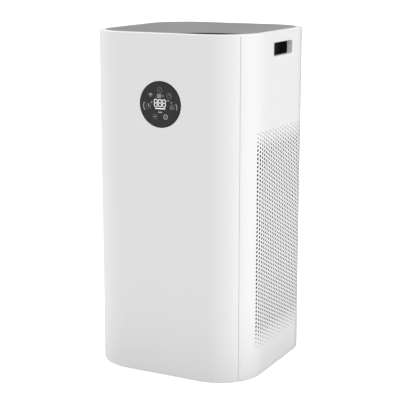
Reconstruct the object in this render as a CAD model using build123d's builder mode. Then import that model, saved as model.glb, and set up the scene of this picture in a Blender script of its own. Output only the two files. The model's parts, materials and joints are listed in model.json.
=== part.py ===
from build123d import *
import os
from math import cos, degrees, radians, sin

# Floor-standing air purifier. Millimetres, +Z up, the front faces -Y.
# The origin is on the floor, under the middle of the body.

# ---- Driving dimensions ----
body_width = 380.0
body_depth = 380.0
body_height = 736.0          # shell, lower edge to top rim
corner_radius = 101.0        # upright corners of the shell
shell_wall = 3.0
shell_lift = 2.0             # lower edge of the shell above the floor
seam_angle = 49.6            # how far each seam lies round its corner
seam_gap = 0.6
joint_gap = 0.3              # between the ends of neighbouring panels
inner_fit = 0.5              # inner frame pieces inside the shell

foot_height = 4.0
foot_radius = 15.0
foot_post_offset = 25.0      # from each foot to its post, along X and along Y

base_floor = 4.0
base_rim = 30.0
base_wall = 3.0
skirt_height = 56.0          # rear skirt under the filter door

socket_x = -60.0             # mains inlet in the rear skirt
socket_z = 34.0
socket_width = 24.0
socket_height = 13.0
socket_flange = 4.0
socket_depth = 22.0

frame_thickness = 5.0        # white ring round the top
rim_width = 13.2
frame_skirt = 9.0
dish_recess = 20.0           # grille below the top rim
dish_wall = 3.0
dish_edge = 0.5              # edge of the dish below the rim
dish_flange = 2.8
grille_radius = 118.0
grille_height = 5.0
grille_ledge = 6.0
grille_bar = 2.0
grille_rings = 11
grille_spokes = 8
grille_hub_radius = 27.0
grille_end_ring = 4.0        # outer ring and hub ring
spoke_width = 2.4
spoke_drop = 1.0             # spokes below the rings' top

display_height = 591.6       # centre of the display above the floor
display_radius = 48.4
display_housing_depth = 17.0

slot_length = 98.2           # hand slot in each side
slot_height = 28.3
slot_centre_y = 7.2
slot_centre_z = 700.4
slot_corner = 5.0
sleeve_depth = 13.0
pocket_depth = 20.0
pocket_rise = 3.0            # pocket taller than the slot at top and bottom
pocket_wall = 2.0

deck_height = 532.0          # underside of the fan deck above the floor
deck_thickness = 4.0
post_radius = 8.0
post_rim_gap = 8.7           # from each post to the rim of the base

filter_post_gap = 6.0
filter_wall_gap = 12.0
platform_height = 60.0       # top of the filter platform above the floor
seat_gap = 0.3
cap_height = 12.0
cap_wall = 1.2
cap_floor = 3.0
media_depth = 33.0
media_sheet = 4.0
pleats = 60
core_wall = 7.0
gasket_height = 6.0

housing_gap = 37.0           # fan housing to the inside of the shell
housing_wall = 3.0
housing_height = 124.0
inlet_radius = 75.0
impeller_gap = 35.0          # impeller rim to the fan housing
impeller_blades = 11
blade_thickness = 2.4
shaft_radius = 4.0
running_fit = 0.05
motor_radius = 48.0
motor_height = 42.0
guide_vanes = 13

sensor_width = 56.0
sensor_height = 40.0
sensor_centre_y = 50.0
sensor_centre_z = 620.0
hinge_pin_radius = 0.8

screw_radius = 1.9
screw_head_radius = 3.8
screw_head_height = 2.5
screw_fit = 0.2
screw_bite = 10.0            # shank in the piece it holds
bore_spare = 2.0             # bore beyond the shank's end

# ---- Heights and places that follow ----
shell_bottom = shell_lift
body_top = shell_bottom + body_height
frame_bottom = body_top - frame_thickness
panel_top = frame_bottom - joint_gap
half_width = body_width / 2
half_depth = body_depth / 2
corner_x = half_width - corner_radius
corner_y = half_depth - corner_radius
inner_inset = shell_wall + inner_fit
base_bottom = foot_height
base_top = base_bottom + base_floor
door_bottom = shell_bottom + skirt_height + joint_gap
post_reach = (corner_radius - inner_inset - base_wall - post_radius - post_rim_gap) * cos(radians(45))
post_x = corner_x + post_reach
post_y = corner_y + post_reach
deck_top = deck_height + deck_thickness
filter_radius = min(post_x - post_radius - filter_post_gap, half_depth - shell_wall - filter_wall_gap)
housing_radius = min(half_width, half_depth) - shell_wall - housing_gap
housing_top = deck_top + housing_height
impeller_radius = housing_radius - housing_wall - impeller_gap
grille_top = body_top - dish_recess
grille_bottom = grille_top - grille_height
corner_signs = [(1, 1), (1, -1), (-1, 1), (-1, -1)]
post_places = [(sx * post_x, sy * post_y) for sx, sy in corner_signs]

os.makedirs("parts", exist_ok=True)


def outline(inset, mode=Mode.ADD):
    # plan of the body, drawn in by an even inset
    RectangleRounded(body_width - 2 * inset, body_depth - 2 * inset, corner_radius - inset, mode=mode)


def block(low, high, inset, mode=Mode.ADD):
    with BuildSketch(Plane.XY.offset(low)) as plan:
        outline(inset)
    extrude(plan.sketch, amount=high - low, mode=mode)


def ring_wall(low, high, outer_inset, inner_inset, mode=Mode.ADD):
    with BuildSketch(Plane.XY.offset(low)) as plan:
        outline(outer_inset)
        outline(inner_inset, Mode.SUBTRACT)
    extrude(plan.sketch, amount=high - low, mode=mode)


def disc(low, high, radius, mode=Mode.ADD, centre=(0, 0)):
    with BuildSketch(Plane.XY.offset(low)) as plan:
        with Locations(centre):
            Circle(radius)
    extrude(plan.sketch, amount=high - low, mode=mode)


def discs(low, high, radius, places, mode=Mode.ADD):
    with BuildSketch(Plane.XY.offset(low)) as plan:
        with Locations(*places):
            Circle(radius)
    extrude(plan.sketch, amount=high - low, mode=mode)


def tube(low, high, outer_radius, bore_radius, mode=Mode.ADD):
    with BuildSketch(Plane.XY.offset(low)) as plan:
        Circle(outer_radius)
        Circle(bore_radius, mode=Mode.SUBTRACT)
    extrude(plan.sketch, amount=high - low, mode=mode)


def cuboid(x_span, y_span, z_span, mode=Mode.ADD):
    with BuildSketch(Plane.XY.offset(z_span[0])) as plan:
        with Locations(((x_span[0] + x_span[1]) / 2, (y_span[0] + y_span[1]) / 2)):
            Rectangle(x_span[1] - x_span[0], y_span[1] - y_span[0])
    extrude(plan.sketch, amount=z_span[1] - z_span[0], mode=mode)


def seam_points(angle, reach):
    # the radial line of a seam, at the front right corner
    a = radians(angle)
    return (corner_x, -corner_y), (corner_x + reach * sin(a), -corner_y - reach * cos(a))


def keep_end(facing, low, high):
    # keeps the part of a wall in front of (facing -1) or behind (facing 1) its two seams
    angle = seam_angle - degrees(seam_gap / 2 / corner_radius)
    near, far = seam_points(angle, 2 * corner_radius)
    with BuildSketch(Plane.XY.offset(low)) as plan:
        Polygon(
            (near[0], -facing * near[1]),
            (far[0], -facing * far[1]),
            (-far[0], -facing * far[1]),
            (-near[0], -facing * near[1]),
            align=None,
        )
    extrude(plan.sketch, amount=high - low, mode=Mode.INTERSECT)


def keep_side(side, low, high):
    # keeps the part of a wall between the front and rear seams of one side
    angle = seam_angle + degrees(seam_gap / 2 / corner_radius)
    near, far = seam_points(angle, 2 * corner_radius)
    outside = far[0] + corner_radius
    with BuildSketch(Plane.XY.offset(low)) as plan:
        Polygon(
            (side * near[0], near[1]),
            (side * far[0], far[1]),
            (side * outside, far[1]),
            (side * outside, -far[1]),
            (side * far[0], -far[1]),
            (side * near[0], -near[1]),
            align=None,
        )
    extrude(plan.sketch, amount=high - low, mode=Mode.INTERSECT)


def side_plane(side, x):
    # sketch plane square to X, its local x along Y and its normal pointing out of that side
    return Plane(origin=(side * x, 0, 0), x_dir=(0, side, 0), z_dir=(side, 0, 0))


def slot_prism(side, x_outer, depth, grow=0.0, mode=Mode.ADD):
    # the hand slot's outline, grown evenly, run inwards from x_outer
    with BuildSketch(side_plane(side, x_outer)) as plan:
        with Locations((side * slot_centre_y, slot_centre_z)):
            RectangleRounded(slot_length + 2 * grow, slot_height + 2 * grow, slot_corner + grow)
    extrude(plan.sketch, amount=-depth, mode=mode)


def save(piece, name):
    piece.part.label = name
    export_step(piece.part, f"parts/{name}.step")


# ---- Base ----
foot_x = post_x - foot_post_offset
foot_y = post_y - foot_post_offset
foot_places = [(sx * foot_x, sy * foot_y) for sx, sy in corner_signs]

with BuildPart() as feet:
    discs(0, foot_height, foot_radius, foot_places)
    fillet(feet.edges().group_by(Axis.Z)[0], radius=1.0)
save(feet, "feet")

with BuildPart() as base_tray:
    block(base_bottom, base_top, inner_inset)
    ring_wall(base_top, base_top + base_rim, inner_inset, inner_inset + base_wall)
    discs(base_bottom, base_top, screw_radius + screw_fit, post_places, Mode.SUBTRACT)
    # way through the rim for the mains inlet
    cuboid((socket_x - socket_width / 2 - socket_flange - 1, socket_x + socket_width / 2 + socket_flange + 1),
           (half_depth - inner_inset - 2 * base_wall, half_depth),
           (socket_z - socket_height / 2 - socket_flange, base_top + base_rim + 1), Mode.SUBTRACT)
save(base_tray, "base_tray")

with BuildPart() as corner_posts:
    discs(base_top, deck_height, post_radius, post_places)
    bore = screw_bite + bore_spare
    discs(base_top, base_top + bore, screw_radius + running_fit, post_places, Mode.SUBTRACT)
    discs(deck_height - bore, deck_height, screw_radius + running_fit, post_places, Mode.SUBTRACT)
save(corner_posts, "corner_posts")

with BuildPart() as base_screws:
    discs(base_bottom - screw_head_height, base_bottom, screw_head_radius, post_places)
    discs(base_bottom, base_top + screw_bite, screw_radius, post_places)
save(base_screws, "base_screws")

# the platform carries the filter, with a guide rail on each side of it
cover_depth = 50.5
cover_back_gap = 24.0        # from the power cover to the rim of the base
cover_front_gap = 4.0        # from the power cover to the platform
cover_back = half_depth - inner_inset - base_wall - cover_back_gap
cover_span_y = (cover_back - cover_depth, cover_back)
platform_half_y = cover_span_y[0] - cover_front_gap
platform_plate = 4.0
rail_width = 3.0
rail_height = 8.0
rail_gap = 1.0               # from the filter to each rail
platform_overhang = 25.0     # platform beyond the box under it
rail_x = filter_radius + rail_gap
platform_box = filter_radius - platform_overhang
with BuildPart() as filter_platform:
    cuboid((-rail_x - rail_width, rail_x + rail_width), (-platform_half_y, platform_half_y),
           (platform_height - platform_plate, platform_height))
    cuboid((-platform_box, platform_box), (-platform_half_y, platform_half_y),
           (base_top, platform_height - platform_plate))
    cuboid((-platform_box + base_wall, platform_box - base_wall),
           (-platform_half_y + base_wall, platform_half_y - base_wall),
           (base_top, platform_height - platform_plate), Mode.SUBTRACT)
    for side in (1, -1):
        edges = sorted((side * rail_x, side * (rail_x + rail_width)))
        cuboid(edges, (-platform_half_y, platform_half_y), (platform_height, platform_height + rail_height))
save(filter_platform, "filter_platform")

# ---- Mains inlet and power board, behind the platform ----
cover_wall = 2.0
cover_half = 70.0
cover_height = 30.0
board_thickness = 1.6
board_rise = 6.0
board_inset = 3.0
standoff_radius = 3.0
standoff_inset = 6.0
socket_floor = 4.0           # behind the recess
contact_radius = 1.2
contact_length = 10.0
contact_spacing = 10.0

with BuildPart() as rear_skirt:
    ring_wall(shell_bottom, shell_bottom + skirt_height, 0, shell_wall)
    keep_end(1, shell_bottom, shell_bottom + skirt_height)
    cuboid((socket_x - socket_width / 2 - socket_flange, socket_x + socket_width / 2 + socket_flange),
           (half_depth - 2 * shell_wall, half_depth),
           (socket_z - socket_height / 2 - socket_flange, socket_z + socket_height / 2 + socket_flange),
           Mode.SUBTRACT)
save(rear_skirt, "rear_skirt")

with BuildPart() as power_socket:
    # flanged block with a recess for a two-pin mains lead
    reach = socket_flange - joint_gap
    cuboid((socket_x - socket_width / 2 - reach, socket_x + socket_width / 2 + reach),
           (half_depth - shell_wall - socket_depth, half_depth - 0.5),
           (socket_z - socket_height / 2 - reach, socket_z + socket_height / 2 + reach))
    cuboid((socket_x - socket_width / 2, socket_x + socket_width / 2),
           (half_depth - shell_wall - socket_depth + socket_floor, half_depth),
           (socket_z - socket_height / 2, socket_z + socket_height / 2), Mode.SUBTRACT)
save(power_socket, "power_socket")

with BuildPart() as socket_pins:
    for x in (socket_x - contact_spacing / 2, socket_x + contact_spacing / 2):
        with BuildSketch(Plane.XZ.offset(-(half_depth - shell_wall - socket_depth + socket_floor))) as pin:
            with Locations((x, socket_z)):
                Circle(contact_radius)
        extrude(pin.sketch, amount=-contact_length)
save(socket_pins, "socket_pins")

with BuildPart() as power_cover:
    cuboid((-cover_half, cover_half), cover_span_y, (base_top, base_top + cover_height))
    cuboid((-cover_half + cover_wall, cover_half - cover_wall),
           (cover_span_y[0] + cover_wall, cover_span_y[1] - cover_wall),
           (base_top, base_top + cover_height - cover_wall), Mode.SUBTRACT)
save(power_cover, "power_cover")

board_x = cover_half - cover_wall - board_inset
board_y = (cover_span_y[0] + cover_wall + board_inset, cover_span_y[1] - cover_wall - board_inset)
with BuildPart() as power_board:
    cuboid((-board_x, board_x), board_y, (base_top + board_rise, base_top + board_rise + board_thickness))
    for x in (-board_x + standoff_inset, board_x - standoff_inset):
        for y in (board_y[0] + standoff_inset, board_y[1] - standoff_inset):
            disc(base_top, base_top + board_rise, standoff_radius, centre=(x, y))
    cuboid((-30, 5), (board_y[0] + 4, board_y[1] - 4),
           (base_top + board_rise + board_thickness, base_top + board_rise + 16))
save(power_board, "power_board")

# ---- Shell panels ----
with BuildPart() as front_panel:
    ring_wall(shell_bottom, panel_top, 0, shell_wall)
    keep_end(-1, shell_bottom, panel_top)
    with BuildSketch(Plane.XZ.offset(half_depth - 2 * shell_wall)) as window:
        with Locations((0, display_height)):
            Circle(display_radius + joint_gap)
    extrude(window.sketch, amount=3 * shell_wall, mode=Mode.SUBTRACT)
save(front_panel, "front_panel")

sensor_low = sensor_centre_z - sensor_height / 2
pin_x = -(half_width - shell_wall / 2)
pin_z = sensor_low + joint_gap + shell_wall / 2
pin_reach = 4.0
sensor_span_y = (sensor_centre_y - sensor_width / 2, sensor_centre_y + sensor_width / 2)


def along_y(radius, x, z, y_span, mode=Mode.ADD):
    with BuildSketch(Plane.XZ.offset(-y_span[0])) as plan:
        with Locations((x, z)):
            Circle(radius)
    extrude(plan.sketch, amount=-(y_span[1] - y_span[0]), mode=mode)


for side_name, side in (("right", 1), ("left", -1)):
    with BuildPart() as side_panel:
        ring_wall(shell_bottom, panel_top, 0, shell_wall)
        keep_side(side, shell_bottom, panel_top)
        slot_prism(side, half_width + shell_wall, 3 * shell_wall, 0, Mode.SUBTRACT)
        if side_name == "left":
            cuboid((-half_width - shell_wall, -half_width + 2 * shell_wall), sensor_span_y,
                   (sensor_low, sensor_low + sensor_height), Mode.SUBTRACT)
            along_y(hinge_pin_radius + running_fit, pin_x, pin_z,
                    (sensor_span_y[0] - pin_reach, sensor_span_y[1] + pin_reach), Mode.SUBTRACT)
    save(side_panel, f"side_panel_{side_name}")

    # white sleeve that lines the hand slot, with a flange against the back of the panel
    sleeve_wall = 2.0
    sleeve_flange = 3.0
    sleeve_outer = half_width - shell_wall
    with BuildPart() as handle_sleeve:
        slot_prism(side, sleeve_outer, sleeve_wall, sleeve_wall + sleeve_flange)
        slot_prism(side, sleeve_outer, sleeve_depth - shell_wall, sleeve_wall)
        slot_prism(side, sleeve_outer + 1, sleeve_depth, 0, Mode.SUBTRACT)
    save(handle_sleeve, f"handle_sleeve_{side_name}")

    # dark finger pocket behind the sleeve, taller than the slot so that fingers hook over it
    pocket_outer = half_width - sleeve_depth
    with BuildPart() as handle_pocket:
        slot_prism(side, pocket_outer, pocket_depth, pocket_rise + pocket_wall)
        slot_prism(side, pocket_outer + 1, pocket_depth - pocket_wall + 1, pocket_rise, Mode.SUBTRACT)
    save(handle_pocket, f"handle_pocket_{side_name}")

# ---- Filter door, its finger cup and its catch plates ----
door_slot_length = 90.0
door_slot_height = 22.0
door_slot_z = 700.0
cup_depth = 16.0
cup_room = 4.0               # cup taller than its slot at top and bottom
cup_wall = 2.0
plate_centre_x = 40.0
plate_width = 20.0
plate_height = 9.0
plate_depth = 3.0
magnet_depth = 7.0
plate_span_z = (deck_top + 1, deck_top + 1 + plate_height)
door_inside = half_depth - shell_wall


def back_prism(y_outer, depth, length, height, corner, mode=Mode.ADD):
    # rounded outline in the back of the body, run forwards from y_outer
    with BuildSketch(Plane.XZ.offset(-y_outer)) as plan:
        with Locations((0, door_slot_z)):
            RectangleRounded(length, height, corner)
    extrude(plan.sketch, amount=depth, mode=mode)


with BuildPart() as rear_door:
    ring_wall(door_bottom, panel_top, 0, shell_wall)
    keep_end(1, door_bottom, panel_top)
    back_prism(half_depth + 1, 3 * shell_wall, door_slot_length, door_slot_height, slot_corner, Mode.SUBTRACT)
save(rear_door, "rear_door")

with BuildPart() as door_cup:
    cup_height = door_slot_height + 2 * cup_room
    back_prism(door_inside, cup_depth, door_slot_length + 2 * cup_wall, cup_height + 2 * cup_wall, slot_corner)
    back_prism(door_inside + 1, cup_depth - cup_wall + 1, door_slot_length, cup_height, slot_corner - cup_wall,
               Mode.SUBTRACT)
save(door_cup, "door_cup")

with BuildPart() as door_plates:
    for x in (-plate_centre_x, plate_centre_x):
        cuboid((x - plate_width / 2, x + plate_width / 2), (door_inside - plate_depth, door_inside), plate_span_z)
save(door_plates, "door_plates")

with BuildPart() as catch_magnets:
    magnet_back = door_inside - plate_depth - joint_gap
    for x in (-plate_centre_x, plate_centre_x):
        cuboid((x - plate_width / 2, x + plate_width / 2), (magnet_back - magnet_depth, magnet_back),
               (deck_top, plate_span_z[1]))
save(catch_magnets, "catch_magnets")

# ---- Interlock switch, held closed by the door ----
switch_x = 80.0
switch_half = 6.0
switch_back = door_inside - 8.0
switch_depth = 16.0
plunger_radius = 2.0
plunger_fit = 0.1
plunger_bore = 12.0
plunger_z = deck_top + switch_half
with BuildPart() as interlock_switch:
    cuboid((switch_x - switch_half, switch_x + switch_half), (switch_back - switch_depth, switch_back),
           (deck_top, deck_top + 2 * switch_half))
    along_y(plunger_radius + plunger_fit, switch_x, plunger_z,
            (switch_back - plunger_bore, switch_back), Mode.SUBTRACT)
save(interlock_switch, "interlock_switch")

with BuildPart() as interlock_plunger:
    along_y(plunger_radius, switch_x, plunger_z, (switch_back - plunger_bore + 2, door_inside - plunger_fit))
save(interlock_plunger, "interlock_plunger")

# ---- Filter cartridge ----
filter_bottom = platform_height + seat_gap
filter_top = deck_height - seat_gap
cap_top = filter_top - gasket_height
media_outer = filter_radius - cap_wall - 2.0
media_inner = media_outer - media_depth
core_inner = media_inner - core_wall - 1.0

with BuildPart() as filter_cap_bottom:
    disc(filter_bottom, filter_bottom + cap_height, filter_radius)
    disc(filter_bottom + cap_floor, filter_bottom + cap_height, filter_radius - cap_wall, Mode.SUBTRACT)
    fillet(filter_cap_bottom.edges().group_by(Axis.Z)[0], radius=1.0)
save(filter_cap_bottom, "filter_cap_bottom")

with BuildPart() as filter_cap_top:
    tube(cap_top - cap_height, cap_top, filter_radius, core_inner)
    tube(cap_top - cap_height, cap_top - cap_floor, filter_radius - cap_wall, core_inner, Mode.SUBTRACT)
save(filter_cap_top, "filter_cap_top")

with BuildPart() as filter_gasket:
    tube(cap_top, filter_top, filter_radius - 6, core_inner + 8)
save(filter_gasket, "filter_gasket")


def zigzag(outer, inner):
    points = []
    for step in range(2 * pleats):
        radius = outer if step % 2 == 0 else inner
        turn = radians(180.0 * step / pleats)
        points.append((radius * cos(turn), radius * sin(turn)))
    return points


with BuildPart() as filter_media:
    with BuildSketch(Plane.XY.offset(filter_bottom + cap_floor)) as pleated:
        Polygon(*zigzag(media_outer, media_inner + media_sheet), align=None)
        Polygon(*zigzag(media_outer - media_sheet, media_inner), align=None, mode=Mode.SUBTRACT)
    extrude(pleated.sketch, amount=cap_top - filter_bottom - 2 * cap_floor)
save(filter_media, "filter_media")

with BuildPart() as carbon_core:
    tube(filter_bottom + cap_floor, cap_top - cap_floor, media_inner - 0.5, core_inner + 0.5)
save(carbon_core, "carbon_core")

with BuildPart() as prefilter_sleeve:
    tube(filter_bottom + cap_floor, cap_top - cap_floor, filter_radius - cap_wall - 0.2, media_outer + 0.3)
save(prefilter_sleeve, "prefilter_sleeve")

tab_width = 40.0
tab_height = 70.0
tab_thickness = 1.5
tab_rise = 2.0
with BuildPart() as filter_pull_tab:
    cuboid((-tab_width / 2, tab_width / 2), (filter_radius, filter_radius + tab_thickness),
           (filter_bottom + tab_rise, filter_bottom + tab_rise + tab_height))
save(filter_pull_tab, "filter_pull_tab")

# ---- Fan deck, bellmouth, housing and guide vanes ----
bell_wall = 3.0
bell_flange = 24.0
bell_height = 12.0
deck_hole = inlet_radius + bell_wall + 4
flange_width = 15.0
with BuildPart() as fan_deck:
    block(deck_height, deck_top, inner_inset)
    disc(deck_height, deck_top, deck_hole, Mode.SUBTRACT)
    discs(deck_height, deck_top, screw_radius + screw_fit, post_places, Mode.SUBTRACT)
save(fan_deck, "fan_deck")

with BuildPart() as deck_screws:
    discs(deck_top, deck_top + screw_head_height, screw_head_radius, post_places)
    discs(deck_height - screw_bite, deck_top, screw_radius, post_places)
save(deck_screws, "deck_screws")

with BuildPart() as inlet_bellmouth:
    tube(deck_top, deck_top + bell_wall, inlet_radius + bell_flange, inlet_radius)
    tube(deck_top, deck_top + bell_height, inlet_radius + bell_wall, inlet_radius)
    fillet(inlet_bellmouth.edges().filter_by(GeomType.CIRCLE).sort_by(SortBy.RADIUS)[0], radius=2.0)
save(inlet_bellmouth, "inlet_bellmouth")

with BuildPart() as fan_housing:
    tube(deck_top, housing_top, housing_radius, housing_radius - housing_wall)
    tube(deck_top, deck_top + housing_wall, housing_radius + flange_width, housing_radius - housing_wall)
save(fan_housing, "fan_housing")

shroud_low = deck_top + bell_height - 3
blade_height = 42.0
plate_low = shroud_low + 3 + blade_height
hub_radius = 20.0
hub_height = 22.0
motor_low = plate_low + 3 + 5
motor_top = motor_low + motor_height
cup_radius = motor_radius + 6
vane_wall = 3.0
vane_thickness = 2.0
vane_low = motor_low + 8
guide_inner = housing_radius - housing_wall
motor_screw_ring = motor_radius - 12
with BuildPart() as guide_vane_ring:
    tube(motor_low, motor_top, cup_radius + vane_wall, cup_radius)
    disc(motor_top, motor_top + vane_wall, cup_radius + vane_wall)
    tube(vane_low, motor_top, guide_inner - 0.2, guide_inner - vane_wall)
    with BuildSketch(Plane.XY.offset(vane_low)) as vanes:
        with PolarLocations(0, guide_vanes):
            with Locations(((cup_radius + guide_inner) / 2, 0)):
                Rectangle(guide_inner - cup_radius - 4, vane_thickness)
    extrude(vanes.sketch, amount=motor_top - vane_low)
    with BuildSketch(Plane.XY.offset(motor_top)) as holes:
        with PolarLocations(motor_screw_ring, 4):
            Circle(screw_radius + screw_fit)
    extrude(holes.sketch, amount=vane_wall, mode=Mode.SUBTRACT)
save(guide_vane_ring, "guide_vane_ring")

# ---- Motor ----
can_wall = 2.5
bearing_radius = 11.0
bearing_height = 6.0
with BuildPart() as motor_case:
    disc(motor_low, motor_top, motor_radius)
    disc(motor_low + can_wall, motor_top - can_wall, motor_radius - can_wall, Mode.SUBTRACT)
    tube(motor_low + can_wall, motor_low + can_wall + bearing_height, bearing_radius + 3, bearing_radius)
    tube(motor_top - can_wall - bearing_height, motor_top - can_wall, bearing_radius + 3, bearing_radius)
    disc(motor_low, motor_low + can_wall, shaft_radius + 2, Mode.SUBTRACT)
    with BuildSketch(Plane.XY.offset(motor_top - can_wall)) as holes:
        with PolarLocations(motor_screw_ring, 4):
            Circle(screw_radius + running_fit)
    extrude(holes.sketch, amount=can_wall, mode=Mode.SUBTRACT)
save(motor_case, "motor_case")

with BuildPart() as motor_screws:
    with BuildSketch(Plane.XY.offset(motor_top + vane_wall)) as heads:
        with PolarLocations(motor_screw_ring, 4):
            Circle(screw_head_radius)
    extrude(heads.sketch, amount=screw_head_height)
    with BuildSketch(Plane.XY.offset(motor_top - can_wall)) as shanks:
        with PolarLocations(motor_screw_ring, 4):
            Circle(screw_radius)
    extrude(shanks.sketch, amount=can_wall + vane_wall)
save(motor_screws, "motor_screws")

with BuildPart() as motor_bearings:
    for low in (motor_low + can_wall, motor_top - can_wall - bearing_height):
        tube(low, low + bearing_height, bearing_radius - running_fit, shaft_radius + running_fit)
save(motor_bearings, "motor_bearings")

rotor_radius = 24.0
rotor_low = motor_low + can_wall + bearing_height + 2
rotor_high = motor_top - can_wall - bearing_height - 2
with BuildPart() as motor_stator:
    tube(rotor_low, rotor_high, motor_radius - can_wall - 0.2, rotor_radius + 0.8)
    with BuildSketch(Plane.XY.offset(rotor_low)) as slots:
        with PolarLocations(rotor_radius + 10, 9):
            Circle(3.5)
    extrude(slots.sketch, amount=rotor_high - rotor_low, mode=Mode.SUBTRACT)
save(motor_stator, "motor_stator")

with BuildPart() as motor_rotor:
    tube(rotor_low, rotor_high, rotor_radius, shaft_radius)
save(motor_rotor, "motor_rotor")

shaft_low = plate_low - hub_height + 6
with BuildPart() as motor_shaft:
    disc(shaft_low, motor_top - can_wall, shaft_radius)
save(motor_shaft, "motor_shaft")

# ---- Impeller ----
blade_inner = inlet_radius + bell_wall + 4
with BuildPart() as impeller:
    disc(plate_low, plate_low + 3, impeller_radius)
    tube(shroud_low, shroud_low + 3, impeller_radius, inlet_radius + bell_wall + 2)
    disc(plate_low - hub_height + 3, plate_low, hub_radius)
    disc(plate_low - hub_height + 3, plate_low + 3, shaft_radius, Mode.SUBTRACT)
    with BuildSketch(Plane.XY.offset(shroud_low + 3)) as blades:
        with PolarLocations(0, impeller_blades):
            with BuildLine() as camber:
                span = impeller_radius - 1 - blade_inner
                ThreePointArc((blade_inner, 0), (blade_inner + span * 0.55, span * 0.75),
                              (blade_inner + span * 0.8, span * 1.7))
            trace(camber.line, line_width=blade_thickness)
    extrude(blades.sketch, amount=blade_height)
save(impeller, "impeller")

with BuildPart() as impeller_nut:
    with BuildSketch(Plane.XY.offset(plate_low - hub_height - 3)) as nut:
        RegularPolygon(8, 6)
    extrude(nut.sketch, amount=6)
    disc(shaft_low, plate_low - hub_height + 3, shaft_radius, Mode.SUBTRACT)
save(impeller_nut, "impeller_nut")

# ---- Outlet: duct, dish, grille and top frame ----
dish_rim_inset = rim_width + 0.2
dish_top = body_top - dish_edge
dish_drop = dish_wall / cos(radians(20))
collar_outer = grille_radius + dish_wall
duct_wall = 2.5
duct_top = grille_bottom - dish_wall

with BuildPart() as air_duct:
    with BuildSketch(Plane.XZ) as duct_profile:
        Polygon(
            (housing_radius - housing_wall, housing_top),
            (housing_radius, housing_top),
            (collar_outer, duct_top),
            (collar_outer - duct_wall, duct_top),
            align=None,
        )
    revolve(duct_profile.sketch, axis=Axis.Z)
save(air_duct, "air_duct")


def bowl(low, high, low_radius, high_inset, mode=Mode.ADD):
    with BuildSketch(Plane.XY.offset(low)) as mouth:
        Circle(low_radius)
    with BuildSketch(Plane.XY.offset(high)) as rim:
        outline(high_inset)
    loft(Sketch() + [mouth.sketch, rim.sketch], ruled=True, mode=mode)


screw_ring = corner_radius - inner_inset - 7
frame_screw_places = [
    (sx * (corner_x + screw_ring * cos(radians(45))), sy * (corner_y + screw_ring * sin(radians(45))))
    for sx, sy in corner_signs
]
flange_top = frame_bottom - 0.2
flange_inset = inner_inset + 2.4
with BuildPart() as outlet_dish:
    block(flange_top - dish_flange, flange_top, flange_inset)
    block(flange_top, dish_top, dish_rim_inset)
    bowl(grille_top - dish_drop, dish_top - dish_drop, collar_outer, dish_rim_inset)
    disc(duct_top, grille_top, collar_outer)
    bowl(grille_top, dish_top, grille_radius + joint_gap, dish_rim_inset + dish_edge, Mode.SUBTRACT)
    disc(grille_bottom, grille_top, grille_radius + joint_gap, Mode.SUBTRACT)
    disc(duct_top, grille_bottom, grille_radius - grille_ledge, Mode.SUBTRACT)
    discs(flange_top - dish_flange, flange_top, screw_radius + screw_fit, frame_screw_places, Mode.SUBTRACT)
save(outlet_dish, "outlet_dish")

with BuildPart() as top_frame:
    ring_wall(frame_bottom, body_top, 0, rim_width)
    ring_wall(frame_bottom - frame_skirt, frame_bottom, inner_inset - 0.2, inner_inset + 2)
    fillet(top_frame.edges().group_by(Axis.Z)[-1].group_by(SortBy.LENGTH)[-1], radius=2.0)
    discs(frame_bottom, body_top - 1.5, screw_radius + running_fit, frame_screw_places, Mode.SUBTRACT)
save(top_frame, "top_frame")

with BuildPart() as frame_screws:
    discs(flange_top - dish_flange - screw_head_height, flange_top - dish_flange, screw_head_radius,
          frame_screw_places)
    discs(flange_top - dish_flange, body_top - 2.0, screw_radius, frame_screw_places)
save(frame_screws, "frame_screws")

ring_pitch = (grille_radius - grille_end_ring - grille_hub_radius) / grille_rings
grille_hub_bore = grille_hub_radius - grille_end_ring
with BuildPart() as outlet_grille:
    tube(grille_bottom, grille_top, grille_radius, grille_radius - grille_end_ring)
    for index in range(1, grille_rings):
        radius = grille_hub_radius + index * ring_pitch
        tube(grille_bottom, grille_top, radius + grille_bar / 2, radius - grille_bar / 2)
    tube(grille_bottom, grille_top, grille_hub_radius, grille_hub_bore)
    with BuildSketch(Plane.XY.offset(grille_bottom)) as spokes:
        with PolarLocations(0, grille_spokes):
            with Locations(((grille_hub_radius + grille_radius - grille_end_ring) / 2, 0)):
                Rectangle(grille_radius - grille_hub_radius, spoke_width)
    extrude(spokes.sketch, amount=grille_height - spoke_drop)
save(outlet_grille, "outlet_grille")

with BuildPart() as grille_cap:
    disc(grille_bottom, grille_top, grille_hub_bore - 0.2)
    fillet(grille_cap.edges().group_by(Axis.Z)[-1], radius=1.0)
save(grille_cap, "grille_cap")

# ---- Display, set in the front panel ----
front_inside = half_depth - shell_wall


def front_disc(y_front, y_back, radius, bore=0.0, mode=Mode.ADD):
    # disc or ring on the display's axis, between two distances in front of the middle
    with BuildSketch(Plane.XZ.offset(y_back)) as plan:
        with Locations((0, display_height)):
            Circle(radius)
            if bore:
                Circle(bore, mode=Mode.SUBTRACT)
    extrude(plan.sketch, amount=y_front - y_back, mode=mode)


with BuildPart() as display_lens:
    front_disc(half_depth - 0.3, front_inside, display_radius)
    fillet(display_lens.edges().group_by(Axis.Y)[0], radius=0.5)
save(display_lens, "display_lens")

housing_outer = display_radius + 6
with BuildPart() as display_housing:
    front_disc(front_inside, front_inside - display_housing_depth, housing_outer)
    front_disc(front_inside, front_inside - display_housing_depth + 2, display_radius - 4, mode=Mode.SUBTRACT)
save(display_housing, "display_housing")

with BuildPart() as display_board:
    front_disc(front_inside - 1.0, front_inside - 2.6, display_radius - 4.3)
save(display_board, "display_board")

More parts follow.
